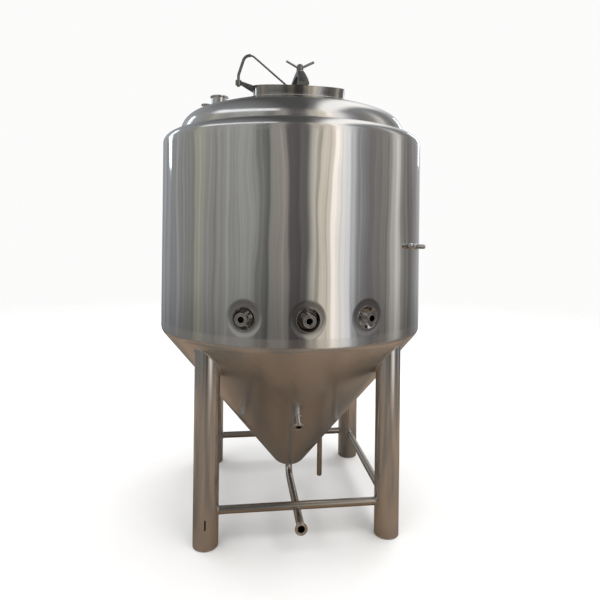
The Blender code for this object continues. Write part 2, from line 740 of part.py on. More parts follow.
def davit_paths(door_top):
    """Paths of the post, up to the top of its bend, and of the stay beyond."""
    corners = [(0, 0, SLEEVE_ENDS[0] - POST_FOOT), (0, 0, POST_BEND_Z), POST_CORNER,
               (STAY_LANDING, 0, -0.012), (STAY_LANDING, 0, door_top)]
    radius, apex, straight = 0.030, 5, 0.003
    wide = rounded_path(corners[1:4], radius, 7)
    lower = rounded_path([corners[0], corners[1], wide[1]], radius, 2)
    foot = rounded_path([wide[-2], corners[3], corners[4]], radius, 4)
    along = (wide[apex + 1] - wide[apex - 1]).normalized()
    top = wide[apex]
    post = lower[:-1] + wide[1:apex] + [top - along * straight, top]
    stay = [top + along * GAP, top + along * straight] + wide[apex + 1:-1] + foot[1:]
    return post, stay


def build_door(pivot, mats):
    """Oval door, its gasket and the threaded stud."""
    seat = -SEAT_DEPTH - GAP
    top = seat - GASKET_T
    shift = Matrix.Translation((-DAVIT_PIVOT, 0, 0))
    outer, inner = [[half + lap for half in OPENING] for lap in GASKET_LAPS]
    rings = [(*outer, top + GAP), (*outer, seat), (*inner, seat), (*inner, top + GAP)]
    put(lofted("door_gasket", rings, TURNED, mats["rubber"]), pivot, shift)

    edge = [half + DOOR_OVERLAP for half in OPENING]
    radius, rise, fall = BOSS
    hole, boss = (STUD_R + GAP, STUD_R + GAP), (radius, radius)
    below = top - DOOR_T
    rings = [(0, 0, below - fall), (*boss, below - fall), (*boss, below), (*edge, below),
             (*edge, top), (*boss, top), (*boss, top + rise), (*hole, top + rise),
             (*hole, top - BLIND), (0, 0, top - BLIND)]
    put(lofted("manway_door", rings, TURNED, mats["polished"], closed=False), pivot, shift)
    stud = cylinder("door_stud", STUD_R, top - BLIND + GAP, STUD_TOP, SMALL, mats["dark"])
    put(stud, pivot, shift)


def build_yoke(frame, mats):
    """Bridge across the rim, with its washer and wing nut."""
    foot, knee = NECK_B + 0.002, NECK_B - 0.024
    # from the rim to the middle: y, underside, top and half the width
    half = [(foot, GAP, 0.014, 0.022), (knee, GAP, 0.030, 0.021),
            (knee - 0.008, 0.010, 0.034, 0.020), (0.060, 0.036, 0.058, 0.016),
            (0.022, 0.044, 0.068, 0.014)]
    stations = [(-y, *rest) for y, *rest in half] + half[::-1]
    yoke = sections("yoke", stations, mats["dark"])
    put(yoke, frame)
    hole = cylinder("guide_stud", STUD_R + 0.0012, 0.0, 0.1, SMALL, mats["skin"])
    put(hole, frame)
    cut(yoke, [hole])

    low, high = WASHER_ENDS
    bore = STUD_R + 2 * GAP
    profile = [(bore, low), (WASHER_R, low), (WASHER_R, high), (bore, high)]
    put(turned("yoke_washer", profile, SMALL, mats["polished"]), frame)

    bore, top = STUD_R + GAP, NUT_BASE + NUT_H
    profile = [(bore, NUT_BASE), (0.0150, NUT_BASE), (0.0130, NUT_BASE + 0.016),
               (0.0115, top), (bore, top)]
    nut = turned("wing_nut", profile, SMALL, mats["dark"])
    put(nut, frame)
    for name, side in (("guide_wing_left", -1), ("guide_wing_right", 1)):
        start, end = [Vector((side * x, 0, NUT_BASE + z)) for x, z in WING_ENDS]
        wing = swept(name, [start, (start + end) / 2, end], WING_R, 0, FINE, mats["dark"])
        put(wing, frame)
        join(nut, [wing])


# ---------------------------------------------------------------- assembly
def main():
    for thing in list(bpy.data.objects):
        bpy.data.objects.remove(thing, do_unlink=True)
    mats = {
        "skin": steel("satin_shell", 0.62, 0.22),
        "brushed": steel("brushed_weld_band", 0.66, 0.38),
        "polished": steel("polished_steel", 0.70, 0.12),
        "mill": steel("mill_finish", 0.58, 0.35),
        "leg": steel("leg_tube", 0.60, 0.20),
        "dark": steel("davit_steel", 0.36, 0.32),
        "bronze": soft("bush_polymer", (0.55, 0.52, 0.45), 0.5),
        "rubber": soft("gasket_silicone", (0.78, 0.77, 0.74), 0.6),
        "foam": soft("lagging_foam", (0.83, 0.72, 0.45), 0.9),
    }
    root = empty("tank_axis", Matrix.Translation((0, AXIS_Y, 0)))
    shell, cladding = build_cladding(root, mats)
    head, vessel, cone = build_vessel(root, mats)
    jacket, foam, cone_foam = build_lagging(root, mats)
    build_ports(root, mats, shell, foam, jacket, vessel)
    build_cone_port(root, mats, cladding, cone_foam, cone)
    build_drain(root, mats)
    build_breather(root, mats, cladding, cone_foam)
    build_head_fittings(root, mats, head)
    build_thermowell(root, mats, shell, foam, jacket, vessel)
    build_stand(root, mats, cladding, cone_foam)
    build_manway(root, mats, head)


main()
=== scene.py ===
"""Looks of the jacketed conical fermenter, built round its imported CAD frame."""
from math import acos, atan, atan2, cos, hypot, pi, radians, sin, sqrt, tan

import bmesh
import bpy
import numpy as np
from mathutils import Matrix, Vector, noise


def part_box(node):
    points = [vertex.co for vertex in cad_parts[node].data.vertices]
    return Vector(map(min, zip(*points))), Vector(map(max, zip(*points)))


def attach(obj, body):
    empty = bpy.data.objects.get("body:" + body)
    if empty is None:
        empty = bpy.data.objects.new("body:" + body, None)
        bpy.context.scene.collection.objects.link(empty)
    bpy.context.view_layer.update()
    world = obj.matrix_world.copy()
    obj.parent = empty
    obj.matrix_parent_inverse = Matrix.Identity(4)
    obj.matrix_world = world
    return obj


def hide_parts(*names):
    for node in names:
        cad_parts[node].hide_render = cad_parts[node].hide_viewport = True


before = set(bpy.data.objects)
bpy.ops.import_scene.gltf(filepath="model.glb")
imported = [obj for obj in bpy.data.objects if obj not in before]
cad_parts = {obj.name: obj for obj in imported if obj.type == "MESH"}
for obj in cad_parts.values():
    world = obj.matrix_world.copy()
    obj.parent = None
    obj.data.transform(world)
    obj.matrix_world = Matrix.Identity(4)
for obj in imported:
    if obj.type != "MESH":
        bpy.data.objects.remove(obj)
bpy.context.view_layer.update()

# ------------------------------------------------------------ sizes, as in the part
SHELL_LOW, SHELL_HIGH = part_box("outer_shell")
AXIS = Vector((0, (SHELL_LOW.y + SHELL_HIGH.y) / 2, 0))
OUTER_R = 0.600
SHEET = 0.002
SHELL_BOTTOM, SHELL_TOP = 0.8314, 1.646
SHOULDER_WIDE, SHOULDER_HIGH = 0.060, 0.044
VESSEL_R, VESSEL_WALL = 0.524, 0.003
HEAD_BASE, HEAD_SKIRT = 1.7004, 0.020
HEAD_KNUCKLE_R, HEAD_CROWN_R = 0.089, 1.308
HEAD_KNUCKLE_AT = VESSEL_R - HEAD_KNUCKLE_R
HEAD_DROP = sqrt((HEAD_CROWN_R - HEAD_KNUCKLE_R) ** 2 - HEAD_KNUCKLE_AT ** 2)
CONE_APEX, CONE_TAN = 0.0833, 0.8179
CONE_ANGLE = atan(CONE_TAN)
CONE_INSULATION = 0.060
CONE_KNUCKLE_R = 0.042
TIP_BOTTOM, TIP_R = 0.150, 0.060
LEG_OFFSET, LEG_R, LEG_WALL, LEG_TOP = 0.372, 0.0508, 0.003, 0.828
FOOT_T = 0.005
BRACE_Z, BRACE_R = 0.136, 0.016
VENT_SLOT, VENT_SLOT_Z = (0.006, 0.041), 0.1045
PORT_Z, PORT_STEP, PORT_REACH = 0.933, radians(23), 0.027
PORT_HOLE_R, PORT_TUBE_R, PORT_BORE_R = 0.0456, 0.014, 0.0118
FERRULE_R, WIDE_FERRULE_R, FERRULE_T, FERRULE_BACK = 0.02525, 0.0455, 0.0055, 0.010
CONE_PORT_Z, CONE_PORT_REACH = 0.480, 0.048
DRAIN_R, DRAIN_WALL, DRAIN_Z, DRAIN_FACE, DRAIN_BEND = 0.016, 0.0015, 0.097, 0.474, 0.050
BREATHER_AT, BREATHER_R, BREATHER_ENDS = (0.152, 0.012), 0.012, (0.068, 0.332)
DOSING_AT, DOSING_FACE, DOSING_R = (-0.354, 0.132), 1.920, 0.038
CIP_AT, CIP_FACE, CIP_R = (-0.422, 0.188), 1.8925, 0.0178
WELL_AZIMUTH, WELL_Z, WELL_R = radians(50), 1.199, 0.006
MANWAY_OFFSET, MANWAY_RIM_Z, MANWAY_TILT = 0.246, 1.8786, radians(11.5)
NECK_A, NECK_B, NECK_WALL = 0.200, 0.150, 0.005
SEAT_DEPTH, GASKET_T, DOOR_T, DOOR_OVERLAP = 0.070, 0.008, 0.005, 0.014
DOOR_SEAT = -SEAT_DEPTH - 0.0004
DAVIT_PIVOT, ROD_R, STAY_R, STAY_LANDING = -0.262, 0.0062, 0.0042, 0.230
POST_BEND_Z, POST_CORNER = 0.0405, (0.033, 0, 0.1410)
SLEEVE_R, SLEEVE_BORE, SLEEVE_ENDS, BAR_T = 0.0130, 0.0099, (-0.003, 0.0165), 0.012
STUD_R, STUD_TOP, NUT_BASE = 0.008, 0.098, 0.072
STUD_PITCH = 0.004

TANK = Matrix.Translation(AXIS)
MANWAY = (Matrix.Translation(AXIS + Vector((0, -MANWAY_OFFSET, MANWAY_RIM_Z)))
          @ Matrix.Rotation(MANWAY_TILT, 4, "X"))
DAVIT = MANWAY @ Matrix.Translation((DAVIT_PIVOT, 0, 0))

# sides of shells, of nozzles and of rods
BIG, MIDDLE, FINE = 256, 96, 48


# ------------------------------------------------------------ mesh building
def mesh_object(name, mesh, material, place, sharp=32):
    """An object from (points, faces), placed in the world and shaded smooth."""
    points, faces = mesh
    made = bpy.data.meshes.new(name)
    made.from_pydata([tuple(place @ Vector(p)) for p in points], [], faces)
    data = bmesh.new()
    data.from_mesh(made)
    bmesh.ops.remove_doubles(data, verts=data.verts, dist=1e-7)
    bmesh.ops.recalc_face_normals(data, faces=data.faces)
    data.to_mesh(made)
    data.free()
    made.shade_smooth()
    made.set_sharp_from_angle(angle=radians(sharp))
    made.materials.append(material)
    thing = bpy.data.objects.new(name, made)
    bpy.context.collection.objects.link(thing)
    return thing


def piece(name, mesh, finish, nodes=(), place=TANK, body="tank", sharp=32):
    """A visible piece with a finish, riding on a body in place of CAD nodes."""
    usual_slot, material = FINISHES[finish]
    thing = mesh_object(name, mesh, material, place, sharp)
    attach(thing, body)
    if nodes:
        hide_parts(*nodes)
    return thing


def loft(rings, cyclic=True):
    """Points and faces through rings of points; a ring of one point is a pole."""
    points, faces, starts = [], [], []
    for ring in rings:
        starts.append(len(points))
        points += ring
    count = max(len(ring) for ring in rings)
    spans = list(range(len(rings) - 1)) + ([len(rings) - 1] if cyclic else [])
    for k in spans:
        m = (k + 1) % len(rings)
        if len(rings[k]) == 1 and len(rings[m]) == 1:
            continue
        for n in range(count):
            o = (n + 1) % count
            quad = [starts[k] + n % len(rings[k]), starts[k] + o % len(rings[k]),
                    starts[m] + o % len(rings[m]), starts[m] + n % len(rings[m])]
            faces.append(list(dict.fromkeys(quad)))
    return points, faces


def circle(radius, height=0.0, count=72):
    """Points on a level circle."""
    turns = [2 * pi * k / count for k in range(count)]
    return [(radius * cos(t), radius * sin(t), height) for t in turns]


def spun(profile, sides, cyclic=True):
    """Loft of a profile of (radius, height) points turned about Z."""
    return spun_oval([(r, r, z) for r, z in profile], sides, cyclic)


def spun_oval(profile, sides, cyclic=True):
    """Loft of (half axis a, half axis b, height) ovals."""
    rings = []
    for a, b, z in profile:
        around = circle(1.0, z, sides) if a > 1e-9 else [(0, 0, z)]
        rings.append([(a * x, b * y, z) for x, y, z in around])
    return loft(rings, cyclic)


def arc(centre, radius, start, end, count):
    """Points on an arc, both ends included."""
    steps = [start + (end - start) * k / count for k in range(count + 1)]
    return [(centre[0] + radius * cos(t), centre[1] + radius * sin(t)) for t in steps]


def eased(profile, radius, cyclic=True, count=4):
    """A profile with its corners rounded to at most a radius."""
    total = len(profile)
    out = []
    for k, here in enumerate(profile):
        ends = not cyclic and k in (0, total - 1)
        before, after = Vector(profile[k - 1]), Vector(profile[(k + 1) % total])
        corner = Vector(here)
        back, ahead = before - corner, after - corner
        if ends or back.length < 1e-9 or ahead.length < 1e-9:
            out.append(tuple(corner))
            continue
        half = back.angle(ahead) / 2
        room = 0.45 * min(back.length, ahead.length)
        reach = min(radius / tan(half), room) if half < pi / 2 - 0.02 else 0
        if reach < 1e-6:
            out.append(tuple(corner))
            continue
        first, last = corner + back.normalized() * reach, corner + ahead.normalized() * reach
        for step in range(count + 1):
            t = step / count
            point = first * (1 - t) ** 2 + corner * (2 * t * (1 - t)) + last * t ** 2
            out.append(tuple(point))
    return out


def rounded_path(corners, radius, count):
    """A path through corner points with its inner corners rounded off."""
    points = [Vector(c) for c in corners]
    path = [points[0]]
    for before, corner, after in zip(points, points[1:], points[2:]):
        back, ahead = (before - corner).normalized(), (after - corner).normalized()
        half = back.angle(ahead) / 2
        middle = corner + (back + ahead).normalized() * (radius / sin(half))
        start = corner + back * (radius / tan(half)) - middle
        axis = start.cross(-back).normalized()
        sweep = pi - 2 * half
        for k in range(count + 1):
            path.append(middle + Matrix.Rotation(sweep * k / count, 3, axis) @ start)
    path.append(points[-1])
    return path


def tube(path, radii, sides, cyclic=False, bore=0.0):
    """Points and faces of a rod or tube; radii is one radius or one per point."""
    points = [Vector(p) for p in path]
    total = len(points)
    if not isinstance(radii, (list, tuple)):
        radii = [radii] * total
    side = (points[1] - points[0]).orthogonal().normalized()
    outer, inner = [], []
    for k, point in enumerate(points):
        ahead = points[(k + 1) % total] if cyclic else points[min(k + 1, total - 1)]
        behind = points[k - 1] if cyclic or k else points[0]
        along = (ahead - behind).normalized()
        side = (side - along * side.dot(along)).normalized()
        other = along.cross(side)
        turns = [2 * pi * n / sides for n in range(sides)]
        for ring, r in ((outer, radii[k]), (inner, bore)):
            ring.append([tuple(point + (side * cos(t) + other * sin(t)) * r) for t in turns])
    if cyclic:
        return loft(outer, True)
    if bore:
        return loft(outer + inner[::-1], True)
    return loft([[tuple(points[0])]] + outer + [[tuple(points[-1])]], False)


def round_tips(path, radius, bevel):
    """Path and radii of a rod whose ends have a rounded edge."""
    points = [Vector(p) for p in path]
    head, tail = (points[0] - points[1]).normalized(), (points[-1] - points[-2]).normalized()
    steps = [radians(a) for a in (90, 60, 30)]
    first = [points[0] - head * bevel * (1 - sin(a)) for a in steps]
    last = [points[-1] - tail * bevel * (1 - sin(a)) for a in reversed(steps)]
    small = [radius - bevel * (1 - cos(a)) for a in steps]
    middle = points[1:-1] or [(points[0] + points[-1]) / 2]
    return first + middle + last, small + [radius] * len(middle) + small[::-1]


def facing(position, direction):
    """Local Z along a direction, with local X kept level."""
    along = Vector(direction).normalized()
    level = Vector((0, 0, 1)).cross(along)
    level = level.normalized() if level.length > 1e-6 else Vector((1, 0, 0))
    turn = Matrix((level, along.cross(level), along)).transposed().to_4x4()
    return Matrix.Translation(position) @ turn


def over(place):
    """Upright over a place (x, y) given from the tank's axis."""
    return TANK @ Matrix.Translation((*place, 0))


def cut(thing, cutters):
    """Subtract closed meshes given as (mesh, place)."""
    guides = []
    for k, (mesh, place) in enumerate(cutters):
        guide = mesh_object(f"cutter_{k}", mesh, thing.data.materials[0], place)
        guides.append(guide)
        modifier = thing.modifiers.new(f"cut_{k}", "BOOLEAN")
        modifier.operation = "DIFFERENCE"
        modifier.solver = "EXACT"
        modifier.object = guide
    bpy.context.view_layer.update()
    solved = bpy.data.meshes.new_from_object(
        thing.evaluated_get(bpy.context.evaluated_depsgraph_get()))
    thing.modifiers.clear()
    old, thing.data = thing.data, solved
    bpy.data.meshes.remove(old)
    for guide in guides:
        bpy.data.objects.remove(guide, do_unlink=True)


def plug(radius, low, high, place, sides=MIDDLE):
    """A closed cylinder for cut()."""
    return spun([(0, low), (radius, low), (radius, high), (0, high)], sides, False), place


def unit(rows):
    """Rows of vectors, each at length one."""
    return rows / np.linalg.norm(rows, axis=1)[:, None]


def read(items, name, width=1, kind=float):
    """One value of every mesh element, as an array."""
    values = np.empty(len(items) * width, kind)
    items.foreach_get(name, values)
    return values.reshape(-1, width) if width > 1 else values


def true_normals(thing, profile):
    """Shade a turned and cut piece by the exact normals of its closed profile."""
    smooth, reach = cos(radians(30)), 0.002
    outline = np.array(profile)
    span = np.roll(outline, -1, axis=0) - outline
    keep = np.hypot(span[:, 0], span[:, 1]) > 1e-9
    outline, span = outline[keep], span[keep]
    ends = outline + span
    area = np.sum(outline[:, 0] * ends[:, 1] - ends[:, 0] * outline[:, 1])
    flat = unit(np.stack([span[:, 1], -span[:, 0]], 1)) * np.sign(area)
    follows, leads = np.roll(flat, 1, axis=0), np.roll(flat, -1, axis=0)
    soft = (flat * follows).sum(1) > smooth
    start = unit(np.where(soft[:, None], flat + follows, flat))
    finish = unit(np.where(np.roll(soft, -1)[:, None], flat + leads, flat))

    mesh = thing.data
    corner = read(mesh.loops, "vertex_index", kind=np.int32)
    co = read(mesh.vertices, "co", 3)[corner] - np.array(AXIS)
    sides = read(mesh.polygons, "loop_total", kind=np.int32)
    face_normal = np.repeat(read(mesh.polygons, "normal", 3), sides, axis=0)
    r = np.hypot(co[:, 0], co[:, 1])
    spoke = co[:, :2] / np.maximum(r, 1e-9)[:, None]
    out, best = face_normal.copy(), np.full(len(co), 1e9)
    for at, way, first, last in zip(outline, span, start, finish):
        away = np.stack([r - at[0], co[:, 2] - at[1]], 1)
        t = np.clip((away @ way) / (way @ way), 0, 1)[:, None]
        gap = np.linalg.norm(away - t * way, axis=1)
        bend = unit(first * (1 - t) + last * t)
        turned = np.column_stack([spoke * bend[:, :1], bend[:, 1]])
        near = (turned * face_normal).sum(1) > cos(radians(32))
        better = near & (gap < best - 1e-7) & (gap < reach)
        best = np.where(better, gap, best)
        out = np.where(better[:, None], turned, out)
    mesh.normals_split_custom_set([tuple(n) for n in out])


# ------------------------------------------------------------ materials
def nodes_of(name):
    """A new material with its node tree and shader."""
    material = bpy.data.materials.new(name)
    material.use_nodes = True
    tree = material.node_tree
    return material, tree, tree.nodes["Principled BSDF"]


def add(tree, kind, **settings):
    """A node with its properties and input values set."""
    node = tree.nodes.new(kind)
    for key, value in settings.items():
        if hasattr(node, key):
            setattr(node, key, value)
        else:
            node.inputs[key.replace("_", " ")].default_value = value
    return node


def math_node(tree, operation, first, second=None):
    """A maths node; its operands are sockets or numbers."""
    node = add(tree, "ShaderNodeMath", operation=operation)
    for socket, value in zip(node.inputs, (first, second)):
        if value is None:
            continue
        if isinstance(value, (int, float)):
            socket.default_value = value
        else:
            tree.links.new(value, socket)
    return node.outputs[0]


def product(tree, first, *others):
    """Sockets and numbers multiplied together."""
    for other in others:
        first = math_node(tree, "MULTIPLY", first, other)
    return first


def object_point(tree):
    """The shaded point in object coordinates, which are the world's at rest."""
    return tree.nodes.new("ShaderNodeTexCoord").outputs["Object"]


def spread(tree, value, low, high, to_low=0.0, to_high=1.0, smooth=True):
    """Map a value from one range to another, clamped."""
    node = tree.nodes.new("ShaderNodeMapRange")
    node.interpolation_type = "SMOOTHSTEP" if smooth else "LINEAR"
    tree.links.new(value, node.inputs["Value"])
    for key, number in (("From Min", low), ("From Max", high), ("To Min", to_low),
                        ("To Max", to_high)):
        node.inputs[key].default_value = number
    return node.outputs["Result"]


def grain(tree, scale, detail, rough, warp=0.0):
    """Noise over object coordinates, with one scale or one for each axis."""
    scales = scale if isinstance(scale, tuple) else (scale,) * 3
    mapping = add(tree, "ShaderNodeMapping", Scale=scales)
    tree.links.new(object_point(tree), mapping.inputs["Vector"])
    node = add(tree, "ShaderNodeTexNoise", Scale=1.0, Detail=detail, Roughness=rough,
               Distortion=warp)
    tree.links.new(mapping.outputs["Vector"], node.inputs["Vector"])
    return node.outputs["Fac"]


def mix_colour(tree, factor, first, second):
    """Mix two colours by a socket."""
    node = tree.nodes.new("ShaderNodeMix")
    node.data_type = "RGBA"
    tree.links.new(factor, node.inputs["Factor"])
    for key, value in (("A", first), ("B", second)):
        socket = [s for s in node.inputs if s.name == key and s.type == "RGBA"][0]
        if isinstance(value, tuple):
            socket.default_value = (*value, 1)
        else:
            tree.links.new(value, socket)
    return [s for s in node.outputs if s.type == "RGBA"][0]


def mix_value(tree, factor, first, second):
    """Mix two number sockets by a third."""
    node = tree.nodes.new("ShaderNodeMix")
    for socket, value in (("Factor", factor), (2, first), (3, second)):
        tree.links.new(value, node.inputs[socket])
    return node.outputs[0]


def split_point(tree, vector):
    """The three parts of a vector socket, by letter."""
    node = tree.nodes.new("ShaderNodeSeparateXYZ")
    tree.links.new(vector, node.inputs[0])
    return node.outputs


def bump(tree, shader, layers):
    """Chain bumps of (height socket, distance in metres)."""
    last = None
    for height, distance in layers:
        node = add(tree, "ShaderNodeBump", Distance=distance, Strength=1.0)
        tree.links.new(height, node.inputs["Height"])
        if last is not None:
            tree.links.new(last, node.inputs["Normal"])
        last = node.outputs["Normal"]
    tree.links.new(last, shader.inputs["Normal"])


def height_mask(tree, full, gone):
    """1 past the height full, fading out towards the height gone."""
    ends = (1.0, 0.0) if full < gone else (0.0, 1.0)
    height = split_point(tree, object_point(tree))["Z"]
    return spread(tree, height, min(full, gone), max(full, gone), *ends)


def port_mask(tree, radius, edge, rise=0.0):
    """1 within a radius of each front port, with a soft edge."""
    where = object_point(tree)
    total = 0.0
    for _, at, _ in port_points():
        node = add(tree, "ShaderNodeVectorMath", operation="DISTANCE")
        tree.links.new(where, node.inputs[0])
        node.inputs[1].default_value = at + Vector((0, 0, rise))
        mask = spread(tree, node.outputs["Value"], radius, radius + edge, 1.0, 0.0)
        total = math_node(tree, "MAXIMUM", total, mask)
    return total


def steel(name, rough, brush, colour=(0.63, 0.63, 0.62), brush_height=0.00001,
          wave=None, wave_height=0.0, smudge=0.06, anisotropy=0.0, dressed=None,
          hollow=None, painted_shade=None):
    """Stainless: brush grain, handling marks, sheet waviness, dressed zones and painted shade."""
    material, tree, shader = nodes_of(name)
    shader.inputs["Metallic"].default_value = 1.0
    shader.inputs["Anisotropic"].default_value = anisotropy
    lines = grain(tree, brush, 4.0, 0.6)
    marks = grain(tree, (5, 5, 3), 5.0, 0.6, 0.3)
    value = spread(tree, lines, 0.3, 0.7, rough[0], rough[1], smooth=False)
    cloud = spread(tree, marks, 0.35, 0.75, 0.0, 0.04)
    value = math_node(tree, "ADD", value, cloud)
    tint = spread(tree, marks, 0.3, 0.7)
    darker = tuple(c * (1 - smudge) for c in colour)
    shade = mix_colour(tree, tint, darker, colour)
    layers = [(lines, brush_height)]
    if wave:
        layers.insert(0, (grain(tree, wave, 1.5, 0.5), wave_height))
    if hollow:
        layers.insert(0, (hollow(tree), 0.0016))
    if anisotropy:
        tangent = add(tree, "ShaderNodeTangent", direction_type="RADIAL", axis="Z")
        tree.links.new(tangent.outputs[0], shader.inputs["Tangent"])
        shader.inputs["Anisotropic Rotation"].default_value = 0.25
    if dressed:
        zone = dressed(tree)
        swirl = grain(tree, (24, 24, 900), 3.0, 0.6)
        value = mix_value(tree, zone, value, spread(tree, swirl, 0.3, 0.7, 0.25, 0.37))
        lighter = tuple(min(1.0, c * 1.04) for c in colour)
        shade = mix_colour(tree, zone, shade, lighter)
        layers.append((product(tree, swirl, zone), 0.00002))
    # painted shade: where the mask is set, the colour is darkened to half
    if painted_shade:
        shaded_colour = tuple(c * 0.50 for c in colour)
        shade = mix_colour(tree, painted_shade(tree), shade, shaded_colour)
    tree.links.new(shade, shader.inputs["Base Color"])
    tree.links.new(value, shader.inputs["Roughness"])
    bump(tree, shader, layers)
    return material


def soft_matter(name, light, dark, rough, scale, height):
    """Rubber, polymer or foam: mottled colour, roughness and fine pores."""
    material, tree, shader = nodes_of(name)
    cells = grain(tree, scale, 4.0, 0.6)
    shade = mix_colour(tree, spread(tree, cells, 0.3, 0.7), dark, light)
    tree.links.new(shade, shader.inputs["Base Color"])
    value = spread(tree, cells, 0.3, 0.7, rough - 0.08, rough + 0.08)
    tree.links.new(value, shader.inputs["Roughness"])
    bump(tree, shader, [(cells, height)])
    return material


def shell_point(azimuth, z):
    """A place on the cladding, its azimuth from the front, and the way out of it."""
    out = Vector((sin(azimuth), -cos(azimuth), 0))
    return AXIS + out * OUTER_R + Vector((0, 0, z)), out


def port_points():
    """Each front port's side, where it meets the cladding and which way it points."""
    for k, side in ((-1, "left"), (0, "centre"), (1, "right")):
        yield side, *shell_point(k * PORT_STEP, PORT_Z)


def shell_dressing(tree):
    """Dressed bands at both edges of the shell and halos round its ports."""
    low = height_mask(tree, SHELL_BOTTOM + 0.026, SHELL_BOTTOM + 0.036)
    top = height_mask(tree, SHELL_TOP - 0.010, SHELL_TOP - 0.026)
    edges = product(tree, math_node(tree, "MAXIMUM", low, top), 0.40)
    halo = product(tree, port_mask(tree, 0.058, 0.012), 0.30)
    return math_node(tree, "MAXIMUM", edges, halo)


def shoulder_dressing(tree):
    """Dressed zone along the seam with the head."""
    seam_z = SHELL_TOP + SHOULDER_HIGH
    return height_mask(tree, seam_z - 0.003, seam_z - 0.016)


def port_painted_shade(tree):
    """Painted shade darkening the upper part of the halo round each port."""
    return product(tree, port_mask(tree, 0.056, 0.014, 0.010), 0.9)


def port_hollows(tree):
    """Height map of the sheet drawn in round each port."""
    return math_node(tree, "SUBTRACT", 1.0, port_mask(tree, 0.047, 0.026))


def cone_dressing(tree):
    """Dressed band where the cone joins the shell."""
    return height_mask(tree, SHELL_BOTTOM + 0.02, SHELL_BOTTOM - 0.018)


def make_finishes():
    """By a short name: the slot that a finish usually stands for, and its material."""
    return {
        "shell": ("satin_shell", steel(
            "cladding_steel", rough=(0.045, 0.090), brush=(70, 70, 0.9),
            wave=(3.4, 3.4, 1.4), wave_height=0.0100, dressed=shell_dressing,
            # painted shade on the upper part of each port's halo
            anisotropy=0.95, hollow=port_hollows, painted_shade=port_painted_shade)),
        "cone": ("satin_shell", steel(
            "cone_steel", rough=(0.17, 0.24), brush=(60, 60, 6), wave=(3, 3, 2),
            wave_height=0.003, dressed=cone_dressing)),
        "shoulder": ("brushed_weld_band", steel(
            "shoulder_steel", rough=(0.13, 0.19), brush=(70, 70, 30), wave=5,
            wave_height=0.003, dressed=shoulder_dressing, anisotropy=0.6)),
        "head": ("polished_steel", steel(
            "head_steel", rough=(0.12, 0.18), brush=50, wave=3, wave_height=0.003)),
        "weld": ("brushed_weld_band", steel(
            "dressed_weld", colour=(0.64, 0.64, 0.63), rough=(0.38, 0.50), brush=300,
            brush_height=0.0001)),
        "polished": ("polished_steel", steel(
            "polished_fitting", colour=(0.66, 0.66, 0.65), rough=(0.08, 0.14), brush=180)),
        # painted shade: the sunken port dishes and ferrules get a darker copy of the polished
        # steel, the shade of their recesses painted into the colour
        "port": ("polished_steel", steel(
            "port_steel", colour=(0.40, 0.39, 0.38), rough=(0.07, 0.13), brush=180)),
        # painted reflection: the neck gets a darker copy of the polished steel, the dark reflection
        # on its front painted into its colour
        "neck": ("polished_steel", steel(
            "neck_steel", colour=(0.37, 0.36, 0.34), rough=(0.08, 0.14), brush=(60, 60, 3),
            wave=(7, 7, 2), wave_height=0.0014)),
        "leg": ("leg_tube", steel(
            "leg_steel", rough=(0.12, 0.19), brush=(220, 220, 2), wave=(10, 10, 1),
            wave_height=0.0003)),
        # painted reflection: braces, drain and breather get a darker, warmer copy of the leg steel,
        # the warm dark surroundings they mirror painted into the colour
        "brace": ("leg_tube", steel(
            "brace_steel", colour=(0.47, 0.44, 0.40), rough=(0.14, 0.22), brush=150)),
        "dark": ("davit_steel", steel(
            "davit_steel", colour=(0.30, 0.30, 0.29), rough=(0.24, 0.36), brush=120,
            brush_height=0.00004, smudge=0.25)),
        "mill": ("davit_steel", steel(
            "mill_steel", colour=(0.56, 0.56, 0.55), rough=(0.26, 0.36), brush=80)),
        "bush": ("bush_polymer", soft_matter(
            "bush_polymer", (0.60, 0.57, 0.50), (0.46, 0.43, 0.37), 0.45, 300, 0.00004)),
        "gasket": ("gasket_silicone", soft_matter(
            "gasket_silicone", (0.80, 0.79, 0.75), (0.66, 0.65, 0.61), 0.5, 180, 0.00005)),
        "foam": (None, soft_matter(
            "lagging_foam", (0.85, 0.74, 0.47), (0.70, 0.57, 0.32), 0.9, 120, 0.0012)),
    }


FINISHES = make_finishes()


# ------------------------------------------------------------ cladding and vessel
def cone_r(z):
    """Radius of the cone's cladding at a height."""
    return CONE_TAN * (z - CONE_APEX)


def cone_z(r, inset=0.0):
    """Height at which the cone's cladding, or a cone inside it, has radius r."""
    return CONE_APEX + (r + inset / cos(CONE_ANGLE)) / CONE_TAN


def cone_top(x, y):
    """Height of the cone's cladding over a point given from the tank's axis."""
    return cone_z(hypot(x, y))


def head_curve(inset):
    """Outline of the top head from its skirt to its crown."""
    turn = atan2(HEAD_DROP, HEAD_KNUCKLE_AT)
    knuckle = arc((HEAD_KNUCKLE_AT, HEAD_BASE), HEAD_KNUCKLE_R - inset, 0, turn, 12)
    crown = arc((0, HEAD_BASE - HEAD_DROP), HEAD_CROWN_R - inset, turn, pi / 2, 16)
    return knuckle + crown[1:-1] + [(0, crown[-1][1])]


def head_z(x, y):
    """Height of the head's crown over a point given from the tank's axis."""
    return HEAD_BASE - HEAD_DROP + sqrt(HEAD_CROWN_R ** 2 - x * x - y * y)


def shoulder_curve(inset):
    """Rolled shoulder, from the straight cladding in to the head."""
    wide, high = SHOULDER_WIDE - inset, SHOULDER_HIGH - inset
    centre = OUTER_R - SHOULDER_WIDE
    end = acos((VESSEL_R - centre) / wide)
    turns = [end * k / 20 for k in range(21)]
    return [(centre + wide * cos(t), SHELL_TOP + high * sin(t)) for t in turns]


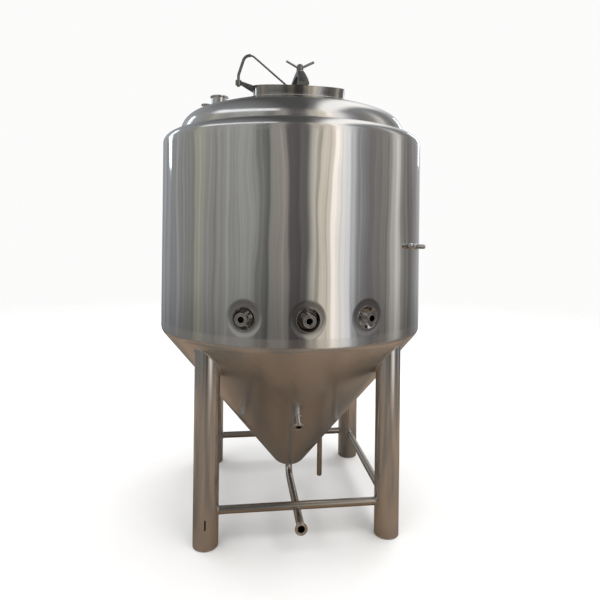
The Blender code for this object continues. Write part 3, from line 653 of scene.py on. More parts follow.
def cone_outline(inset):
    """Cone cladding from the shell's lower edge to its tip."""
    knuckle = arc((OUTER_R - CONE_KNUCKLE_R, SHELL_BOTTOM), CONE_KNUCKLE_R - inset, 0,
                  -CONE_ANGLE, 12)
    top = TIP_BOTTOM + TIP_R
    middle = cone_r(top) - TIP_R / cos(CONE_ANGLE)
    tip = arc((middle, top), TIP_R - inset, -CONE_ANGLE, -pi / 2, 10)
    return knuckle + tip


def build_cladding():
    """Outer skin in three pieces that meet along dressed welds."""
    inside = OUTER_R - SHEET
    profile = [(OUTER_R, SHELL_BOTTOM), (OUTER_R, SHELL_TOP), (inside, SHELL_TOP),
               (inside, SHELL_BOTTOM)]
    shell = piece("cladding_shell", spun(profile, BIG), "shell", ["outer_shell"])
    cut(shell, [plug(PORT_HOLE_R, -0.05, 0.05, facing(at, out))
                for _, at, out in port_points()])
    true_normals(shell, profile)

    piece("cladding_shoulder", spun(shoulder_curve(0) + shoulder_curve(SHEET)[::-1], BIG),
          "shoulder", ["shoulder_ring"])

    hole = DRAIN_R - 0.001
    outer, inner = cone_outline(0), cone_outline(SHEET)
    profile = outer + [(hole, outer[-1][1]), (hole, inner[-1][1])] + inner[::-1]
    cone = piece("cladding_cone", spun(profile, BIG), "cone", ["cone_cladding"])
    cutters = [plug(LEG_R - 0.0006, 0.3, 1.0, over((sx * LEG_OFFSET, sy * LEG_OFFSET)))
               for sx in (-1, 1) for sy in (-1, 1)]
    cutters.append(plug(PORT_TUBE_R - 0.0005, -0.05, 0.05, facing(*cone_port()), FINE))
    cutters.append(plug(BREATHER_R - 0.0005, 0.1, 0.6, over(BREATHER_AT), FINE))
    cut(cone, cutters)
    true_normals(cone, profile)


def build_head():
    """Dished head with its openings."""
    inside = VESSEL_R - VESSEL_WALL
    skirt = HEAD_BASE - HEAD_SKIRT
    profile = ([(VESSEL_R, skirt)] + head_curve(0) + head_curve(VESSEL_WALL)[::-1]
               + [(inside, skirt)])
    head = piece("head_dome", spun(profile, BIG), "head", ["top_head"])
    a, b = NECK_A - 0.001, NECK_B - 0.001
    oval = spun_oval([(0, 0, -0.16), (a, b, -0.16), (a, b, 0.06), (0, 0, 0.06)], MIDDLE, False)
    cut(head, [(oval, MANWAY)] + [plug(radius - 0.0005, 1.6, 2.0, over(at), FINE)
                                  for at, radius in ((DOSING_AT, DOSING_R), (CIP_AT, CIP_R))])
    true_normals(head, profile)


def build_head_seam():
    """Hand-dressed seam between head and shoulder, uneven along its length."""
    seam_z = shoulder_curve(0)[-1][1] - 0.0020
    rings = []
    for spot in circle(1.0, count=BIG * 2):
        way = Vector(spot)
        lump = noise.noise(way * 14) * 0.6 + noise.noise(way * 45) * 0.4
        low = noise.noise(way * 5 + Vector((7, 0, 0)))
        wide, high = 0.010 + 0.002 * low, 0.0022 + 0.0011 * lump
        ring = []
        for out, up, _ in circle(1.0, count=10):
            at = way * (VESSEL_R + 0.0035 + wide * out)
            ring.append((at.x, at.y, seam_z - 0.35 * wide * out + high * up))
        rings.append(ring)
    piece("head_seam", loft(rings), "weld", sharp=80)


def bead(name, path, radius, place=TANK, finish="weld", body="tank", seed=0.0):
    """A weld bead: a small rippled tube along a closed path."""
    points = [Vector(p) for p in path]
    radii = []
    for k, point in enumerate(points):
        ripple = 0.16 * sin(2 * pi * k * 0.37) + 0.3 * noise.noise(point * 60 + Vector((seed,) * 3))
        radii.append(radius * (1 + ripple))
    piece(name, tube(points, radii, 8, cyclic=True), finish, (), place, body, 80)


def raised(ring, rises):
    """A ring of points, each lifted by its own rise."""
    return [(x, y, z + rise) for (x, y, z), rise in zip(ring, rises)]


def ring_on(surface, at, radius, count):
    """A circle about an upright axis at (x, y), laid on a surface's height there."""
    spots = [(at[0] + x, at[1] + y) for x, y, _ in circle(radius, count=count)]
    return [(x, y, surface(x, y)) for x, y in spots]


# ------------------------------------------------------------ nozzles
def ferrule_profile(face, length, tube_r, bore, flange):
    """Clamp ferrule on a tube, its face looking up, with eased edges."""
    groove = (bore + flange) / 2
    corners = [(bore, face - length), (tube_r, face - length), (tube_r, face - FERRULE_BACK),
               (flange - 0.0012, face - FERRULE_T), (flange, face - FERRULE_T + 0.0016),
               (flange, face), (groove + 0.0016, face), (groove + 0.0010, face - 0.0011),
               (groove - 0.0010, face - 0.0011), (groove - 0.0016, face), (bore, face)]
    return eased(corners, 0.0007)


def build_ports():
    """Three sunken ports: a pressed dish with a rim and a ferrule in each."""
    for side, at, out in port_points():
        seat = facing(at, out)
        tube_r = PORT_TUBE_R + 0.0004
        lip = PORT_HOLE_R
        sheet = [(tube_r, -0.0180), (0.0300, -0.0160), (0.0425, 0.0004), (lip - 0.0012, 0.0012),
                 (lip, -0.0012), (lip, -0.0060), (0.0300, -0.0180), (tube_r, -0.0200)]
        piece("port_dish_" + side, spun(eased(sheet, 0.005, count=6), MIDDLE), "port",
              ["port_collar_" + side], seat)
        root_r = VESSEL_R - 0.012 if side == "centre" else VESSEL_R + 0.0124
        profile = ferrule_profile(PORT_REACH, OUTER_R + PORT_REACH - root_r, PORT_TUBE_R,
                                  PORT_BORE_R, FERRULE_R)
        piece("port_ferrule_" + side, spun(profile, MIDDLE), "port",
              ["port_nozzle_" + side], seat)
        bead("port_bead_" + side, circle(tube_r, -0.0178), 0.0016, seat)


def cone_port():
    """Where the cone's nozzle leaves the cladding, and its direction."""
    out = Vector((0, -cos(CONE_ANGLE), -sin(CONE_ANGLE)))
    return AXIS + Vector((0, -cone_r(CONE_PORT_Z), CONE_PORT_Z)), out


def build_cone_port():
    """Nozzle low on the cone, with its bead."""
    seat = facing(*cone_port())
    depth = CONE_INSULATION + 0.010
    profile = ferrule_profile(CONE_PORT_REACH, CONE_PORT_REACH + depth, PORT_TUBE_R,
                              PORT_BORE_R, FERRULE_R)
    piece("cone_spout", spun(profile, MIDDLE), "polished", ["cone_nozzle"], seat)
    bead("cone_spout_bead", circle(PORT_TUBE_R + 0.0006, 0.0004), 0.0018, seat)


def build_drain():
    """Bottom outlet with its long bend, level run and ferrule."""
    top = cone_z(DRAIN_R, CONE_INSULATION) + 0.002
    end = DRAIN_FACE - 0.022
    path = rounded_path([(0, 0, top), (0, 0, DRAIN_Z), (0, -end, DRAIN_Z)], DRAIN_BEND, 20)
    piece("drain_tube", tube(path, DRAIN_R, FINE, bore=DRAIN_R - DRAIN_WALL), "brace",
          ["drain_pipe"])
    profile = ferrule_profile(0, DRAIN_FACE - end - 0.0004, DRAIN_R, DRAIN_R - DRAIN_WALL,
                              FERRULE_R)
    face, joint = (facing(AXIS + Vector((0, -reach, DRAIN_Z)), (0, -1, 0))
                   for reach in (DRAIN_FACE, end))
    piece("drain_end", spun(profile, MIDDLE), "polished", ["drain_ferrule"], face)
    bead("drain_bead", circle(DRAIN_R), 0.0010, joint)
    bead("tip_bead", circle(DRAIN_R + 0.0008, TIP_BOTTOM), 0.0018)


def build_breather():
    """Thin breather pipe with a bevelled lower end."""
    low, high = BREATHER_ENDS
    wall = 0.002
    corners = [(BREATHER_R - 0.0012, low), (BREATHER_R, low + 0.006), (BREATHER_R, high),
               (BREATHER_R - wall, high), (BREATHER_R - wall, low)]
    piece("breather_tube", spun(eased(corners, 0.0004), FINE), "brace", ["breather_pipe"],
          over(BREATHER_AT))
    ring = ring_on(cone_top, BREATHER_AT, BREATHER_R + 0.0004, 60)
    bead("breather_bead", ring, 0.0014)


def build_head_fittings():
    """Two ferruled nozzles behind the manway's left end."""
    for name, node, at, face, tube_r, flange in (
            ("dosing_neck", "dosing_nozzle", DOSING_AT, DOSING_FACE, DOSING_R, WIDE_FERRULE_R),
            ("cleaning_neck", "cip_nozzle", CIP_AT, CIP_FACE, CIP_R, FERRULE_R)):
        profile = ferrule_profile(face, 0.140, tube_r, tube_r - 0.0015, flange)
        piece(name, spun(profile, MIDDLE), "polished", [node], over(at))
        bead(name + "_bead", ring_on(head_z, at, tube_r + 0.0006, 72), 0.0020)


def build_thermowell():
    """Thermometer pocket: boss, tube, gland nut and probe head."""
    seat = facing(*shell_point(WELL_AZIMUTH, WELL_Z))
    bore = WELL_R - 0.0015
    shaded_colour = -(OUTER_R - VESSEL_R) - 0.150
    rod = [(0, shaded_colour), (WELL_R, shaded_colour), (WELL_R, 0.022), (bore, 0.022), (bore, shaded_colour + 0.002),
           (0, shaded_colour + 0.002)]
    piece("well_tube", spun(rod, FINE), "polished", ["thermowell"], seat)
    inner = WELL_R + 0.0004
    boss = [(inner, -0.006), (0.0130, -0.006), (0.0130, 0.006), (0.0105, 0.010), (inner, 0.010)]
    piece("well_boss", spun(eased(boss, 0.0012), FINE), "polished", ["thermowell_boss"], seat)
    rings = []
    low, high = 0.016, 0.028
    for z, across in ((low, 0.0), (low, 0.0112), (low + 0.001, 0.0125), (high - 0.002, 0.0125),
                      (high, 0.0108), (high, 0.0)):
        ring = []
        for k in range(36):
            turn = 2 * pi * k / 36
            hexagon = 0.0108 / cos((turn + pi / 6) % (pi / 3) - pi / 6)
            radius = min(hexagon, across) if across else inner
            ring.append((radius * cos(turn), radius * sin(turn), z))
        rings.append(ring)
    piece("well_nut", loft(rings), "polished", ["gland_nut"], seat)
    radius, start, end = 0.0098, high + 0.0004, 0.062
    head = eased([(0, start), (radius, start), (radius, end - 0.0070)], 0.001, False)
    head += arc((radius - 0.0070, end - 0.0070), 0.0070, 0, pi / 2, 8)[1:] + [(0, end)]
    piece("well_head", spun(head, FINE, False), "polished", ["probe_head"], seat)
    bead("well_bead", circle(0.0132, 0.0003), 0.0013, seat)


# ------------------------------------------------------------ stand
CORNERS = {"front_left": (-1, -1), "front_right": (1, -1), "rear_right": (1, 1),
           "rear_left": (-1, 1)}


def coped(x, y):
    """Where a leg's tube ends: under the vessel's cone, or at its greatest height."""
    return min(LEG_TOP, cone_z(hypot(x, y), CONE_INSULATION) - 0.002)


def vent_slot():
    """Upright slot with pointed ends through a leg's front, for cut()."""
    width, height = VENT_SLOT
    outline = ((-1, -0.93), (0, -1), (1, -0.93), (1, 0.93), (0, 1), (-1, 0.93))
    points = [(x * width / 2, y, VENT_SLOT_Z + z * height / 2)
              for y in (-LEG_R - 0.01, -LEG_R + 0.01) for x, z in outline]
    sides = [[k, (k + 1) % 6, (k + 1) % 6 + 6, k + 6] for k in range(6)]
    return points, sides + [list(range(6)), list(range(6, 12))]


def build_legs():
    """Tube legs coped into the cone, closed feet and the welds round them."""
    for name, (sx, sy) in CORNERS.items():
        at = (sx * LEG_OFFSET, sy * LEG_OFFSET)
        outer, inner = circle(LEG_R, FOOT_T, MIDDLE), circle(LEG_R - LEG_WALL, FOOT_T, MIDDLE)
        tops = [z - FOOT_T for _, _, z in ring_on(coped, at, LEG_R, MIDDLE)]
        rings = [outer, raised(outer, tops), raised(inner, tops), inner]
        leg = piece("stand_leg_" + name, loft(rings), "leg", ["leg_" + name], over(at))
        if name == "front_left":
            cut(leg, [(vent_slot(), over(at))])
            leg.data.set_sharp_from_angle(angle=radians(32))
        edge = 0.002
        foot = eased([(0, 0), (LEG_R - edge, 0), (LEG_R, edge), (LEG_R, FOOT_T), (0, FOOT_T)],
                     0.0015, False)
        piece("stand_foot_" + name, spun(foot, MIDDLE, False), "leg", ["foot_" + name],
              over(at))
        ring = raised(ring_on(cone_top, at, LEG_R + 0.0008, MIDDLE), [0.0002] * MIDDLE)
        bead("leg_bead_" + name, ring, 0.0030, seed=sx * 3 + sy)


def build_braces():
    """Ring of level braces with a weld at each end."""
    order = list(CORNERS)
    lift = Vector((0, 0, BRACE_Z))
    for name, first, second in zip(("front", "right", "rear", "left"), order,
                                   order[1:] + order[:1]):
        start = Vector((*CORNERS[first], 0)) * LEG_OFFSET
        end = Vector((*CORNERS[second], 0)) * LEG_OFFSET
        along = (end - start).normalized()
        inset = sqrt(LEG_R ** 2 - BRACE_R ** 2) + 0.0002
        path = [start + along * inset + lift, (start + end) / 2 + lift,
                end - along * inset + lift]
        piece("stand_brace_" + name, tube(path, BRACE_R, FINE, bore=BRACE_R - 0.002),
              "brace", ["brace_" + name])
        across = along.cross(Vector((0, 0, 1)))
        for tip, (corner, way) in enumerate(((start, along), (end, -along))):
            ring = []
            for side, rise, _ in circle(BRACE_R + 0.0006, count=48):
                reach = sqrt(LEG_R ** 2 - side ** 2) + 0.0008
                ring.append(corner + lift + way * reach + across * side
                            + Vector((0, 0, rise)))
            bead(f"brace_bead_{name}_{tip}", ring, 0.0017, seed=tip + len(name))


# ------------------------------------------------------------ manway
def rounded_bar(stations, radius):
    """Loft along local Y of rounded rectangles: (y, low, high, half width)."""
    rings = []
    for y, low, high, half in stations:
        r = min(radius, half * 0.9, (high - low) * 0.45)
        ring = []
        for cx, cz, start in ((half - r, high - r, 0), (-half + r, high - r, pi / 2),
                              (-half + r, low + r, pi), (half - r, low + r, 3 * pi / 2)):
            ring += [(x, y, z) for x, z in arc((cx, cz), r, start, start + pi / 2, 5)]
        rings.append(ring)
    first, last = ([tuple(sum((Vector(p) for p in ring), Vector()) / len(ring))]
                   for ring in (rings[0], rings[-1]))
    return loft([first] + rings + [last], False)


def smooth_stations(stations):
    """Catmull-Rom between given stations."""
    rows = [np.array(s, float) for s in stations]
    rows = [2 * rows[0] - rows[1]] + rows + [2 * rows[-1] - rows[-2]]
    out = []
    for a, b, c, d in zip(rows, rows[1:], rows[2:], rows[3:]):
        for k in range(5):
            t = k / 5
            out.append(0.5 * (2 * b + (c - a) * t + (2 * a - 5 * b + 4 * c - d) * t * t
                              + (3 * b - a - 3 * c + d) * t ** 3))
    out.append(rows[-2])
    return [tuple(row) for row in out]


def build_neck():
    """Oval neck with a rounded rim and its weld to the head."""
    corners = [(-0.0022, -SEAT_DEPTH), (-0.0022, -0.029), (0, -0.001), (-NECK_WALL, 0),
               (-NECK_WALL, -SEAT_DEPTH)]
    profile = [(NECK_A + off, NECK_B + off, w) for off, w in eased(corners, 0.0012)]
    piece("manway_collar", spun_oval(profile, BIG), "neck", ["manway_neck"], MANWAY)
    centre = AXIS + Vector((0, 0, head_z(0, 0) - HEAD_CROWN_R))
    down = -(MANWAY.to_3x3() @ Vector((0, 0, 1)))
    ring = []
    for x, y, _ in circle(1.0, count=240):
        top = MANWAY @ Vector(((NECK_A + 0.001) * x, (NECK_B + 0.001) * y, 0))
        gap = top - centre
        b = gap.dot(down)
        ring.append(top + down * (-b - sqrt(b * b - gap.length_squared + HEAD_CROWN_R ** 2)))
    bead("manway_bead", ring, 0.0028, Matrix.Identity(4))


def build_davit():
    """Bracket, bush, bent post, thinner stay and the stay's foot on the door."""
    low, high = SLEEVE_ENDS
    sleeve = [(SLEEVE_BORE, low), (SLEEVE_R, low), (SLEEVE_R, high), (SLEEVE_BORE, high)]
    piece("davit_sleeve", spun(eased(sleeve, 0.0010), FINE), "dark", ["davit_bracket"],
          DAVIT)
    start, end = NECK_A - 0.001, -DAVIT_PIVOT - SLEEVE_R + 0.002
    bar = rounded_bar([(start, -0.031, 0.0, BAR_T / 2),
                       (end, low + 0.001, high - 0.001, BAR_T / 2)], 0.0015)
    piece("davit_bar", bar, "dark", place=MANWAY @ Matrix.Rotation(pi / 2, 4, "Z"))
    bore, liner, seat = ROD_R + 0.0006, SLEEVE_BORE - 0.0004, high + 0.0004
    bush = [(bore, low - 0.002), (liner, low - 0.002), (liner, seat), (0.0125, seat),
            (0.0125, seat + 0.0031), (bore, seat + 0.0031)]
    piece("davit_bearing", spun(eased(bush, 0.0008), FINE), "bush", ["davit_bush"], DAVIT,
          "davit_swivel")

    door_top = DOOR_SEAT - GASKET_T
    corners = [(0, 0, low - 0.006), (0, 0, POST_BEND_Z), POST_CORNER,
               (STAY_LANDING, 0, -0.012), (STAY_LANDING, 0, door_top)]
    bend, apex, straight = 0.030, 14, 0.003
    wide = rounded_path(corners[1:4], bend, 20)
    lower = rounded_path([corners[0], corners[1], wide[1]], bend, 6)
    foot = rounded_path([wide[-2], corners[3], corners[4]], bend, 12)
    along = (wide[apex + 1] - wide[apex - 1]).normalized()
    top = wide[apex]
    post = lower[:-1] + wide[1:apex] + [top - along * straight, top]
    path, radii = round_tips(post, ROD_R, 0.0015)
    piece("davit_post", tube(path, radii, 32), "dark", ["davit_arm"], DAVIT, "door_carrier")
    stay = [top, top + along * straight] + wide[apex + 1:-1] + foot[1:]
    piece("davit_rod", tube(stay, STAY_R, 24), "dark", ["davit_stay"], DAVIT,
          "door_carrier")
    bead("davit_top_bead", circle(STAY_R + 0.0012, 0.0006, 40), 0.0022,
         DAVIT @ facing(top, along), "dark", "door_carrier")
    socket = [(STAY_R, door_top), (0.0105, door_top), (0.0105, door_top + 0.024),
              (0.0080, door_top + 0.026), (STAY_R, door_top + 0.026)]
    at = DAVIT @ Matrix.Translation((STAY_LANDING, 0, 0))
    piece("davit_foot", spun(eased(socket, 0.001), FINE), "polished", ["davit_socket"], at,
          "door_carrier")
    bead("davit_foot_bead", circle(0.0108, door_top + 0.0006), 0.0014, at,
         body="door_carrier")


def build_door():
    """Oval door with a pressed rim, its gasket, and a boss with the stud in it."""
    opening = (NECK_A - NECK_WALL, NECK_B - NECK_WALL)
    top = DOOR_SEAT - GASKET_T
    strip = eased([(0.010, top), (0.010, DOOR_SEAT), (-0.006, DOOR_SEAT), (-0.006, top)],
                  0.002)
    profile = [(opening[0] + off, opening[1] + off, w) for off, w in strip]
    piece("door_seal", spun_oval(profile, 192), "gasket", ["door_gasket"], MANWAY,
          "door_carrier")

    edge, boss, hole = DOOR_OVERLAP, 0.020, STUD_R + 0.0002
    low = top - DOOR_T
    outline = [("rim", edge, low), ("rim", edge, top), ("rim", -0.012, top),
               ("rim", -0.020, top - 0.0025), ("rim", -0.070, top - 0.0025),
               ("hub", 0.030, top - 0.0004), ("hub", boss, top), ("hub", boss, top + 0.0125),
               ("hub", boss - 0.0015, top + 0.014), ("hub", hole, top + 0.014),
               ("hub", hole, top - 0.004), ("hub", 0, top - 0.004)]
    under = [("hub", 0, low - 0.006), ("hub", boss, low - 0.006), ("hub", boss, low)]
    profile = []
    for kind, size, w in under + outline:
        if kind == "rim":
            profile.append((opening[0] + size, opening[1] + size, w))
        else:
            profile.append((size, size, w))
    piece("door_plate", spun_oval(profile, 192, False), "polished", ["manway_door"], MANWAY,
          "door_carrier", 25)
    build_stud(top - 0.0036)
    bead("door_boss_bead", circle(boss + 0.001, top + 0.0004), 0.0016, MANWAY,
         body="door_carrier")


def build_stud(base):
    """Door stud with a real thread form, so that its outline shows it."""
    crest, root = STUD_R, STUD_R - 0.0012
    thread_from, per_turn, around = 0.030, 8, 32
    rows = [[(0, 0, base)], circle(crest, base, around), circle(crest, thread_from, around)]
    for step in range(1, int((STUD_TOP - 0.002 - thread_from) / STUD_PITCH * per_turn)):
        z = thread_from + step * STUD_PITCH / per_turn
        ring = []
        for k, (x, y, _) in enumerate(circle(1.0, z, around)):
            phase = (z / STUD_PITCH - k / around) % 1.0
            radius = crest - (crest - root) * abs(2 * phase - 1) * min(1.0, step / 6)
            ring.append((radius * x, radius * y, z))
        rows.append(ring)
    rows += [circle(root, STUD_TOP - 0.0015, around), circle(root - 0.0012, STUD_TOP, around),
             [(0, 0, STUD_TOP)]]
    piece("door_screw", loft(rows, False), "dark", ["door_stud"], MANWAY, "door_carrier", 60)


def build_yoke():
    """Cast bridge over the rim, washer and wing nut."""
    half = [(NECK_B + 0.002, 0.0004, 0.014, 0.022), (NECK_B - 0.010, 0.0004, 0.022, 0.0217),
            (NECK_B - 0.024, 0.0004, 0.030, 0.021), (NECK_B - 0.032, 0.010, 0.034, 0.020),
            (0.060, 0.036, 0.058, 0.016), (0.022, 0.044, 0.068, 0.014)]
    stations = [(-y, *rest) for y, *rest in half] + [tuple(s) for s in reversed(half)]
    yoke = piece("yoke_casting", rounded_bar(smooth_stations(stations), 0.004), "dark",
                 ["yoke"], MANWAY, "yoke_bridge", 50)
    cut(yoke, [plug(STUD_R + 0.0012, 0.0, 0.1, MANWAY, FINE)])
    yoke.data.set_sharp_from_angle(angle=radians(50))
    washer = eased([(STUD_R + 0.0008, 0.0684), (0.0165, 0.0684), (0.0165, 0.0714),
                    (STUD_R + 0.0008, 0.0714)], 0.0006)
    piece("yoke_ring", spun(washer, FINE), "polished", ["yoke_washer"], MANWAY,
          "yoke_bridge")
    hub = eased([(STUD_R + 0.0003, NUT_BASE), (0.0150, NUT_BASE), (0.0148, NUT_BASE + 0.006),
                 (0.0128, NUT_BASE + 0.016), (0.0115, NUT_BASE + 0.023),
                 (STUD_R + 0.0003, NUT_BASE + 0.023)], 0.0012)
    piece("nut_hub", spun(hub, FINE), "dark", ["wing_nut"], MANWAY, "nut")
    for side, name in ((-1, "left"), (1, "right")):
        path = [Vector((side * x, 0, NUT_BASE + z))
                for x, z in ((0.0114, 0.0115), (0.024, 0.0180), (0.042, 0.0272), (0.060, 0.0360))]
        spots, radii = round_tips(path, 0.0054, 0.0010)
        piece("nut_wing_" + name, tube(spots, radii, 24), "mill", (), MANWAY, "nut")


# ------------------------------------------------------------ inner pieces
def finish_inner():
    """CAD nodes that stay as they are get their own finish."""
    plain = {"mill": ("inner_shell", "inner_cone", "cooling_jacket", "cip_arm", "spray_ball"),
             "foam": ("insulation_shell", "insulation_cone")}
    for finish, names in plain.items():
        for name in names:
            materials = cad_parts[name].data.materials
            materials.clear()
            materials.append(FINISHES[finish][1])


# ------------------------------------------------------------ studio
CAMERA_AT = Vector((-0.2687, -2.4249, 1.2638))
CAMERA_TURN = radians(-7.3)
CAMERA_ROLL = radians(0.67)
CAMERA_LENS = 30.38
CAMERA_SHIFT = -0.1176

# what surrounds the tank: (azimuth from the front, clockwise; colour)
SURROUNDINGS = (
    (-180, (0.20, 0.20, 0.21)), (-150, (0.36, 0.37, 0.39)), (-100, (0.31, 0.31, 0.30)),
    (-90, (0.46, 0.45, 0.38)), (-81, (0.33, 0.32, 0.31)), (-45, (0.41, 0.41, 0.40)),
    (-36, (0.37, 0.37, 0.35)), (-32, (0.23, 0.23, 0.22)), (-26, (0.20, 0.20, 0.19)),
    (-25, (0.12, 0.12, 0.12)), (-24, (0.28, 0.27, 0.25)), (-15, (0.40, 0.37, 0.33)),
    (-11, (0.28, 0.26, 0.24)), (-9.5, (0.13, 0.12, 0.12)), (6, (0.15, 0.14, 0.14)),
    (8, (0.36, 0.34, 0.31)), (13, (0.74, 0.69, 0.60)), (15, (0.34, 0.30, 0.25)),
    (17, (0.88, 0.80, 0.69)), (25, (0.80, 0.71, 0.61)), (28, (1.34, 1.22, 1.12)),
    (35, (1.20, 1.14, 1.08)), (42, (0.92, 0.92, 0.94)), (51, (0.42, 0.42, 0.43)),
    (62, (0.22, 0.21, 0.21)), (80, (0.30, 0.28, 0.26)), (88, (0.50, 0.48, 0.45)),
    (93, (0.95, 0.93, 0.90)), (100, (0.36, 0.34, 0.32)), (115, (0.20, 0.19, 0.18)),
    (158, (0.62, 0.62, 0.64)), (180, (0.20, 0.20, 0.21)))
# what hangs above it: (sideways share of the direction, right positive; colour)
OVERHEAD = (
    (-1.0, (0.32, 0.33, 0.35)), (-0.6, (0.28, 0.29, 0.30)), (-0.35, (0.20, 0.20, 0.20)),
    (-0.16, (0.11, 0.11, 0.11)), (0.12, (0.10, 0.10, 0.10)), (0.22, (0.30, 0.29, 0.28)),
    (0.31, (1.40, 1.37, 1.33)), (0.50, (1.50, 1.48, 1.45)), (0.62, (0.32, 0.33, 0.35)),
    (1.0, (0.30, 0.31, 0.33)))
GROUND = (0.20, 0.155, 0.12)
BACKDROP = (0.97, 0.97, 0.965)


def colour_ramp(tree, value, reach, stops):
    """Colours by a value between minus and plus reach."""
    ramp = tree.nodes.new("ShaderNodeValToRGB")
    elements = ramp.color_ramp.elements
    for k, (at, colour) in enumerate(stops):
        place = (at / reach + 1) / 2
        stop = elements[k] if k < 2 else elements.new(place)
        stop.position, stop.color = place, (*colour, 1)
    tree.links.new(spread(tree, value, -reach, reach, smooth=False), ramp.inputs[0])
    return ramp.outputs[0]


def build_world():
    """Studio walls seen only in reflections, with a plain pale backdrop."""
    world = bpy.data.worlds.new("studio")
    bpy.context.scene.world = world
    world.use_nodes = True
    tree = world.node_tree
    tree.nodes.clear()
    way = split_point(tree, tree.nodes.new("ShaderNodeTexCoord").outputs["Generated"])

    def risen(low, high, to_low=0.0, to_high=1.0):
        """A value that changes between two elevations, in degrees."""
        return spread(tree, way["Z"], sin(radians(low)), sin(radians(high)), to_low, to_high)

    azimuth = math_node(tree, "ARCTAN2", way["X"], product(tree, way["Y"], -1.0))
    round_about = colour_ramp(tree, azimuth, pi, [(radians(a), c) for a, c in SURROUNDINGS])
    sky = colour_ramp(tree, way["X"], 1.0, OVERHEAD)
    stripes = add(tree, "ShaderNodeTexNoise", noise_dimensions="1D", Scale=9.0, Detail=5.0,
                  Roughness=0.75)
    tree.links.new(azimuth, stripes.inputs["W"])
    shade = spread(tree, stripes.outputs["Fac"], 0.3, 0.7, 0.72, 1.28, smooth=False)
    # the walls are darker low down, but for the great window at the right
    low = math_node(tree, "ADD", risen(-13, -4, 0.60, 0.97), risen(-5, 14, 0.0, 0.20))
    off_window = math_node(tree, "ABSOLUTE", math_node(tree, "SUBTRACT", azimuth, 0.52))
    window = math_node(tree, "SUBTRACT", 1.0, spread(tree, off_window, 0.20, 0.45))
    walls = add(tree, "ShaderNodeVectorMath", operation="SCALE")
    tree.links.new(round_about, walls.inputs[0])
    tree.links.new(product(tree, shade, math_node(tree, "MAXIMUM", low, window)),
                   walls.inputs["Scale"])
    colour = mix_colour(tree, risen(24, 52), walls.outputs[0], sky)
    # row of high windows on the left, which the head's knuckle mirrors
    row = product(tree, risen(29, 33), risen(39, 43, 1, 0), spread(tree, azimuth, -1.9, -1.6),
                  spread(tree, azimuth, -0.45, -0.30, 1, 0))
    colour = mix_colour(tree, row, colour, (1.45, 1.45, 1.50))
    colour = mix_colour(tree, risen(-30, -12, 1, 0), colour, GROUND)
    seen = tree.nodes.new("ShaderNodeLightPath").outputs["Is Camera Ray"]
    colour = mix_colour(tree, seen, colour, BACKDROP)
    shine = tree.nodes.new("ShaderNodeBackground")
    tree.links.new(colour, shine.inputs["Color"])
    out = tree.nodes.new("ShaderNodeOutputWorld")
    tree.links.new(shine.outputs[0], out.inputs[0])


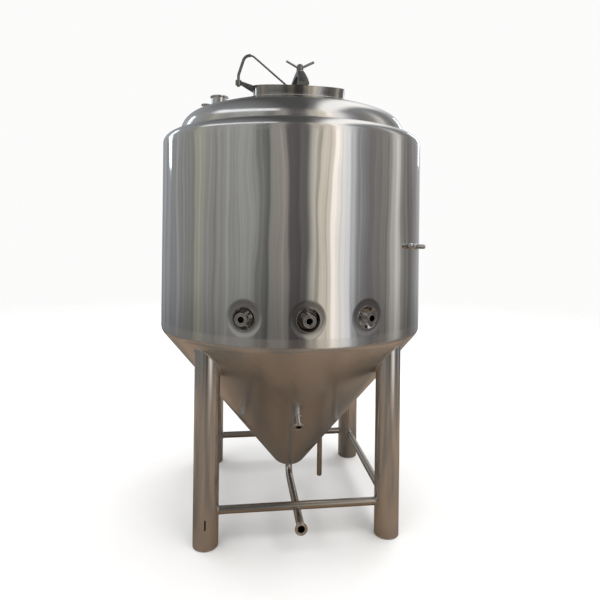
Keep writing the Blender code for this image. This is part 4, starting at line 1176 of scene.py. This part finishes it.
def build_floor():
    """Plain pale floor; it reflects warm and fades out before the backdrop."""
    rings = [[(0, 0, 0)]] + [circle(r, 0.0, 96) for r in (0.5, 1, 2, 4, 8, 14)]
    material, tree, shader = nodes_of("pale_floor")
    grit = grain(tree, 9, 4.0, 0.6)
    pale = mix_colour(tree, grit, (0.80, 0.795, 0.785), (0.83, 0.825, 0.815))
    patches = grain(tree, 1.1, 2.0, 0.5)
    warm = mix_colour(tree, spread(tree, patches, 0.35, 0.65), (0.14, 0.12, 0.10),
                      (0.29, 0.205, 0.145))
    seen = tree.nodes.new("ShaderNodeLightPath").outputs["Is Camera Ray"]
    tree.links.new(mix_colour(tree, seen, warm, pale), shader.inputs["Base Color"])
    tree.links.new(spread(tree, grit, 0.3, 0.7, 0.75, 0.9), shader.inputs["Roughness"])
    shader.inputs["Specular IOR Level"].default_value = 0.2
    bump(tree, shader, [(grit, 0.0004)])
    size = add(tree, "ShaderNodeVectorMath", operation="LENGTH")
    tree.links.new(object_point(tree), size.inputs[0])
    seen_far = spread(tree, size.outputs["Value"], 3.0, 8.0, 1.0, 0.0)
    mirrored_far = spread(tree, size.outputs["Value"], 1.5, 3.4, 1.0, 0.0)
    tree.links.new(mix_value(tree, seen, mirrored_far, seen_far), shader.inputs["Alpha"])
    floor = mesh_object("studio_floor", loft(rings, False), material, TANK)
    return floor


def softbox(name, at, aim, width, height, power, colour=(1, 1, 1), only=None):
    """A rectangular soft light; only limits it to one receiver."""
    data = bpy.data.lights.new(name, "AREA")
    data.shape, data.size, data.size_y = "RECTANGLE", width, height
    data.energy, data.color = power, colour
    lamp = bpy.data.objects.new(name, data)
    bpy.context.collection.objects.link(lamp)
    lamp.matrix_world = facing(Vector(at), Vector(at) - Vector(aim))
    lamp.visible_camera = False
    if only:
        group = bpy.data.collections.new(name + "_receivers")
        group.objects.link(only)
        lamp.light_linking.receiver_collection = group


def build_lights(floor):
    """Side softboxes, and an overhead wash that lights only the floor."""
    softbox("window_left", (-3.6, 2.8, 2.9), (0, 0, 1.4), 0.5, 1.8, 10, (0.72, 0.86, 1.0))
    softbox("window_right", (3.2, 3.2, 2.9), (0, 0, 1.4), 0.4, 1.6, 7, (0.78, 0.90, 1.0))
    softbox("floor_wash", (0, 0, 7.0), (0, 0, 0), 16.0, 16.0, 1500, only=floor)


def build_camera():
    """Camera at standing height, a little left of the tank's front."""
    data = bpy.data.cameras.new("view")
    data.lens, data.sensor_width = CAMERA_LENS, 36.0
    data.shift_y = CAMERA_SHIFT
    data.dof.use_dof = False
    camera = bpy.data.objects.new("view", data)
    bpy.context.collection.objects.link(camera)
    level = Matrix.Rotation(CAMERA_TURN, 4, "Z") @ Matrix.Rotation(pi / 2, 4, "X")
    camera.matrix_world = (Matrix.Translation(AXIS + CAMERA_AT) @ level
                           @ Matrix.Rotation(CAMERA_ROLL, 4, "Z"))
    bpy.context.scene.camera = camera


for build in (build_cladding, build_head, build_head_seam, build_ports, build_cone_port,
              build_drain, build_breather, build_head_fittings, build_thermowell, build_legs,
              build_braces, build_neck, build_davit, build_door, build_yoke, finish_inner,
              build_world):
    build()
build_lights(build_floor())
build_camera()
bpy.context.scene.view_settings.view_transform = "Standard"
